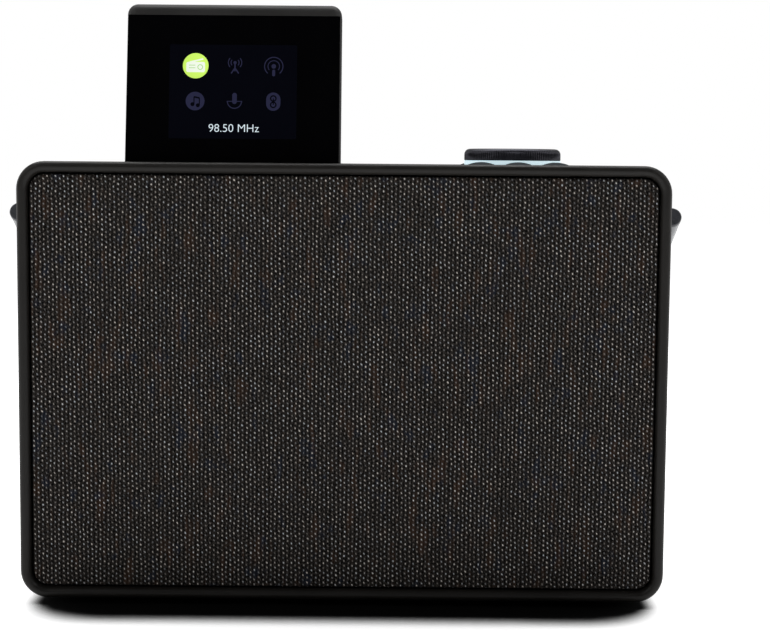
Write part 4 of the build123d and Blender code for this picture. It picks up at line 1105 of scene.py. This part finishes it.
def build_lights():
    """Soft lamps above, behind and to both sides."""
    # name, place, height that it is aimed at, width and height in metres, power in watts
    softbox("light_above", (0.0, 0.25, 1.05), 0.12, 1.2, 0.5, 12.0)
    softbox("light_front_left", (-0.95, -0.95, 1.05), 0.08, 0.8, 0.8, 4.9)
    softbox("light_front_right", (1.05, -0.85, 0.95), 0.08, 0.7, 0.7, 3.9)
    softbox("light_left", (-1.1, 0.2, 0.45), 0.1, 0.5, 0.9, 2.5)
    softbox("light_right", (1.1, 0.2, 0.45), 0.1, 0.5, 0.9, 2.5)


# ---- operators ---------------------------------------------------------------------------

class RADIO_OT_paint_parts(bpy.types.Operator):
    """Give every CAD part of the radio the finish of its slot"""

    bl_idname = "radio.paint_parts"
    bl_label = "Paint the Parts"

    def execute(self, context):
        all_finishes()
        for name, node in frame["nodes"].items():
            slot = SLOT_OF_NODE[name]
            if slot == "grille_cloth":
                continue
            if not node.material_slots:
                node.data.materials.append(FINISHES[slot])
            for holder in node.material_slots:
                holder.material = FINISHES[slot]
        return {"FINISHED"}


class RADIO_OT_weave_cloth(bpy.types.Operator):
    """Weave the speaker cloth and stretch it over its frame"""

    bl_idname = "radio.weave_cloth"
    bl_label = "Weave the Cloth"

    def execute(self, context):
        build_cloth(context.scene.radio_cloth)
        return {"FINISHED"}


class RADIO_OT_knurl_dial(bpy.types.Operator):
    """Cut the knurled cap of the control dial"""

    bl_idname = "radio.knurl_dial"
    bl_label = "Knurl the Dial"

    def execute(self, context):
        build_dial(context.scene.radio_dial)
        return {"FINISHED"}


class RADIO_OT_light_screen(bpy.types.Operator):
    """Draw the lit picture on the display"""

    bl_idname = "radio.light_screen"
    bl_label = "Light the Screen"

    def execute(self, context):
        build_screen(context.scene.radio_screen)
        return {"FINISHED"}


class RADIO_OT_rib_grip(bpy.types.Operator):
    """Mould the ribbed sleeve on the carry handle"""

    bl_idname = "radio.rib_grip"
    bl_label = "Rib the Grip"

    def execute(self, context):
        build_grip(context.scene.radio_handle)
        return {"FINISHED"}


class RADIO_OT_fit_screws(bpy.types.Operator):
    """Fit the four cross-recess screws of the rear cover"""

    bl_idname = "radio.fit_screws"
    bl_label = "Fit the Rear Screws"

    def execute(self, context):
        build_screws()
        return {"FINISHED"}


class RADIO_OT_print_marks(bpy.types.Operator):
    """Print the generic symbols beside the rear sockets"""

    bl_idname = "radio.print_marks"
    bl_label = "Print the Socket Marks"

    def execute(self, context):
        build_marks()
        return {"FINISHED"}


class RADIO_OT_set_stage(bpy.types.Operator):
    """Set the floor, the lights, the room and the camera"""

    bl_idname = "radio.set_stage"
    bl_label = "Set the Stage"

    def execute(self, context):
        settings = context.scene.radio_stage
        build_floor(settings)
        build_lights()
        studio_world(settings)
        build_camera(settings)
        context.scene.view_settings.view_transform = "Standard"
        return {"FINISHED"}


class RADIO_PT_build(bpy.types.Panel):
    """The steps that build the radio, in order"""

    bl_label = "Tabletop Radio"
    bl_idname = "RADIO_PT_build"
    bl_space_type = "VIEW_3D"
    bl_region_type = "UI"
    bl_category = "Radio"

    def draw(self, context):
        column = self.layout.column()
        for operator in OPERATORS:
            column.operator(operator.bl_idname)


SETTINGS = {
    "radio_cloth": RadioClothSettings,
    "radio_screen": RadioScreenSettings,
    "radio_dial": RadioDialSettings,
    "radio_handle": RadioHandleSettings,
    "radio_stage": RadioStageSettings,
}
OPERATORS = (
    RADIO_OT_paint_parts,
    RADIO_OT_weave_cloth,
    RADIO_OT_knurl_dial,
    RADIO_OT_light_screen,
    RADIO_OT_rib_grip,
    RADIO_OT_fit_screws,
    RADIO_OT_print_marks,
    RADIO_OT_set_stage,
)
CLASSES = (*SETTINGS.values(), *OPERATORS, RADIO_PT_build)


def register():
    for item in CLASSES:
        bpy.utils.register_class(item)
    for name, item in SETTINGS.items():
        setattr(bpy.types.Scene, name, PointerProperty(type=item))


def unregister():
    for name in SETTINGS:
        delattr(bpy.types.Scene, name)
    for item in reversed(CLASSES):
        bpy.utils.unregister_class(item)


def main():
    register()
    bpy.ops.radio.paint_parts()
    bpy.ops.radio.weave_cloth()
    bpy.ops.radio.knurl_dial()
    bpy.ops.radio.light_screen()
    bpy.ops.radio.rib_grip()
    bpy.ops.radio.fit_screws()
    bpy.ops.radio.print_marks()
    bpy.ops.radio.set_stage()


if __name__ == "__main__":
    main()
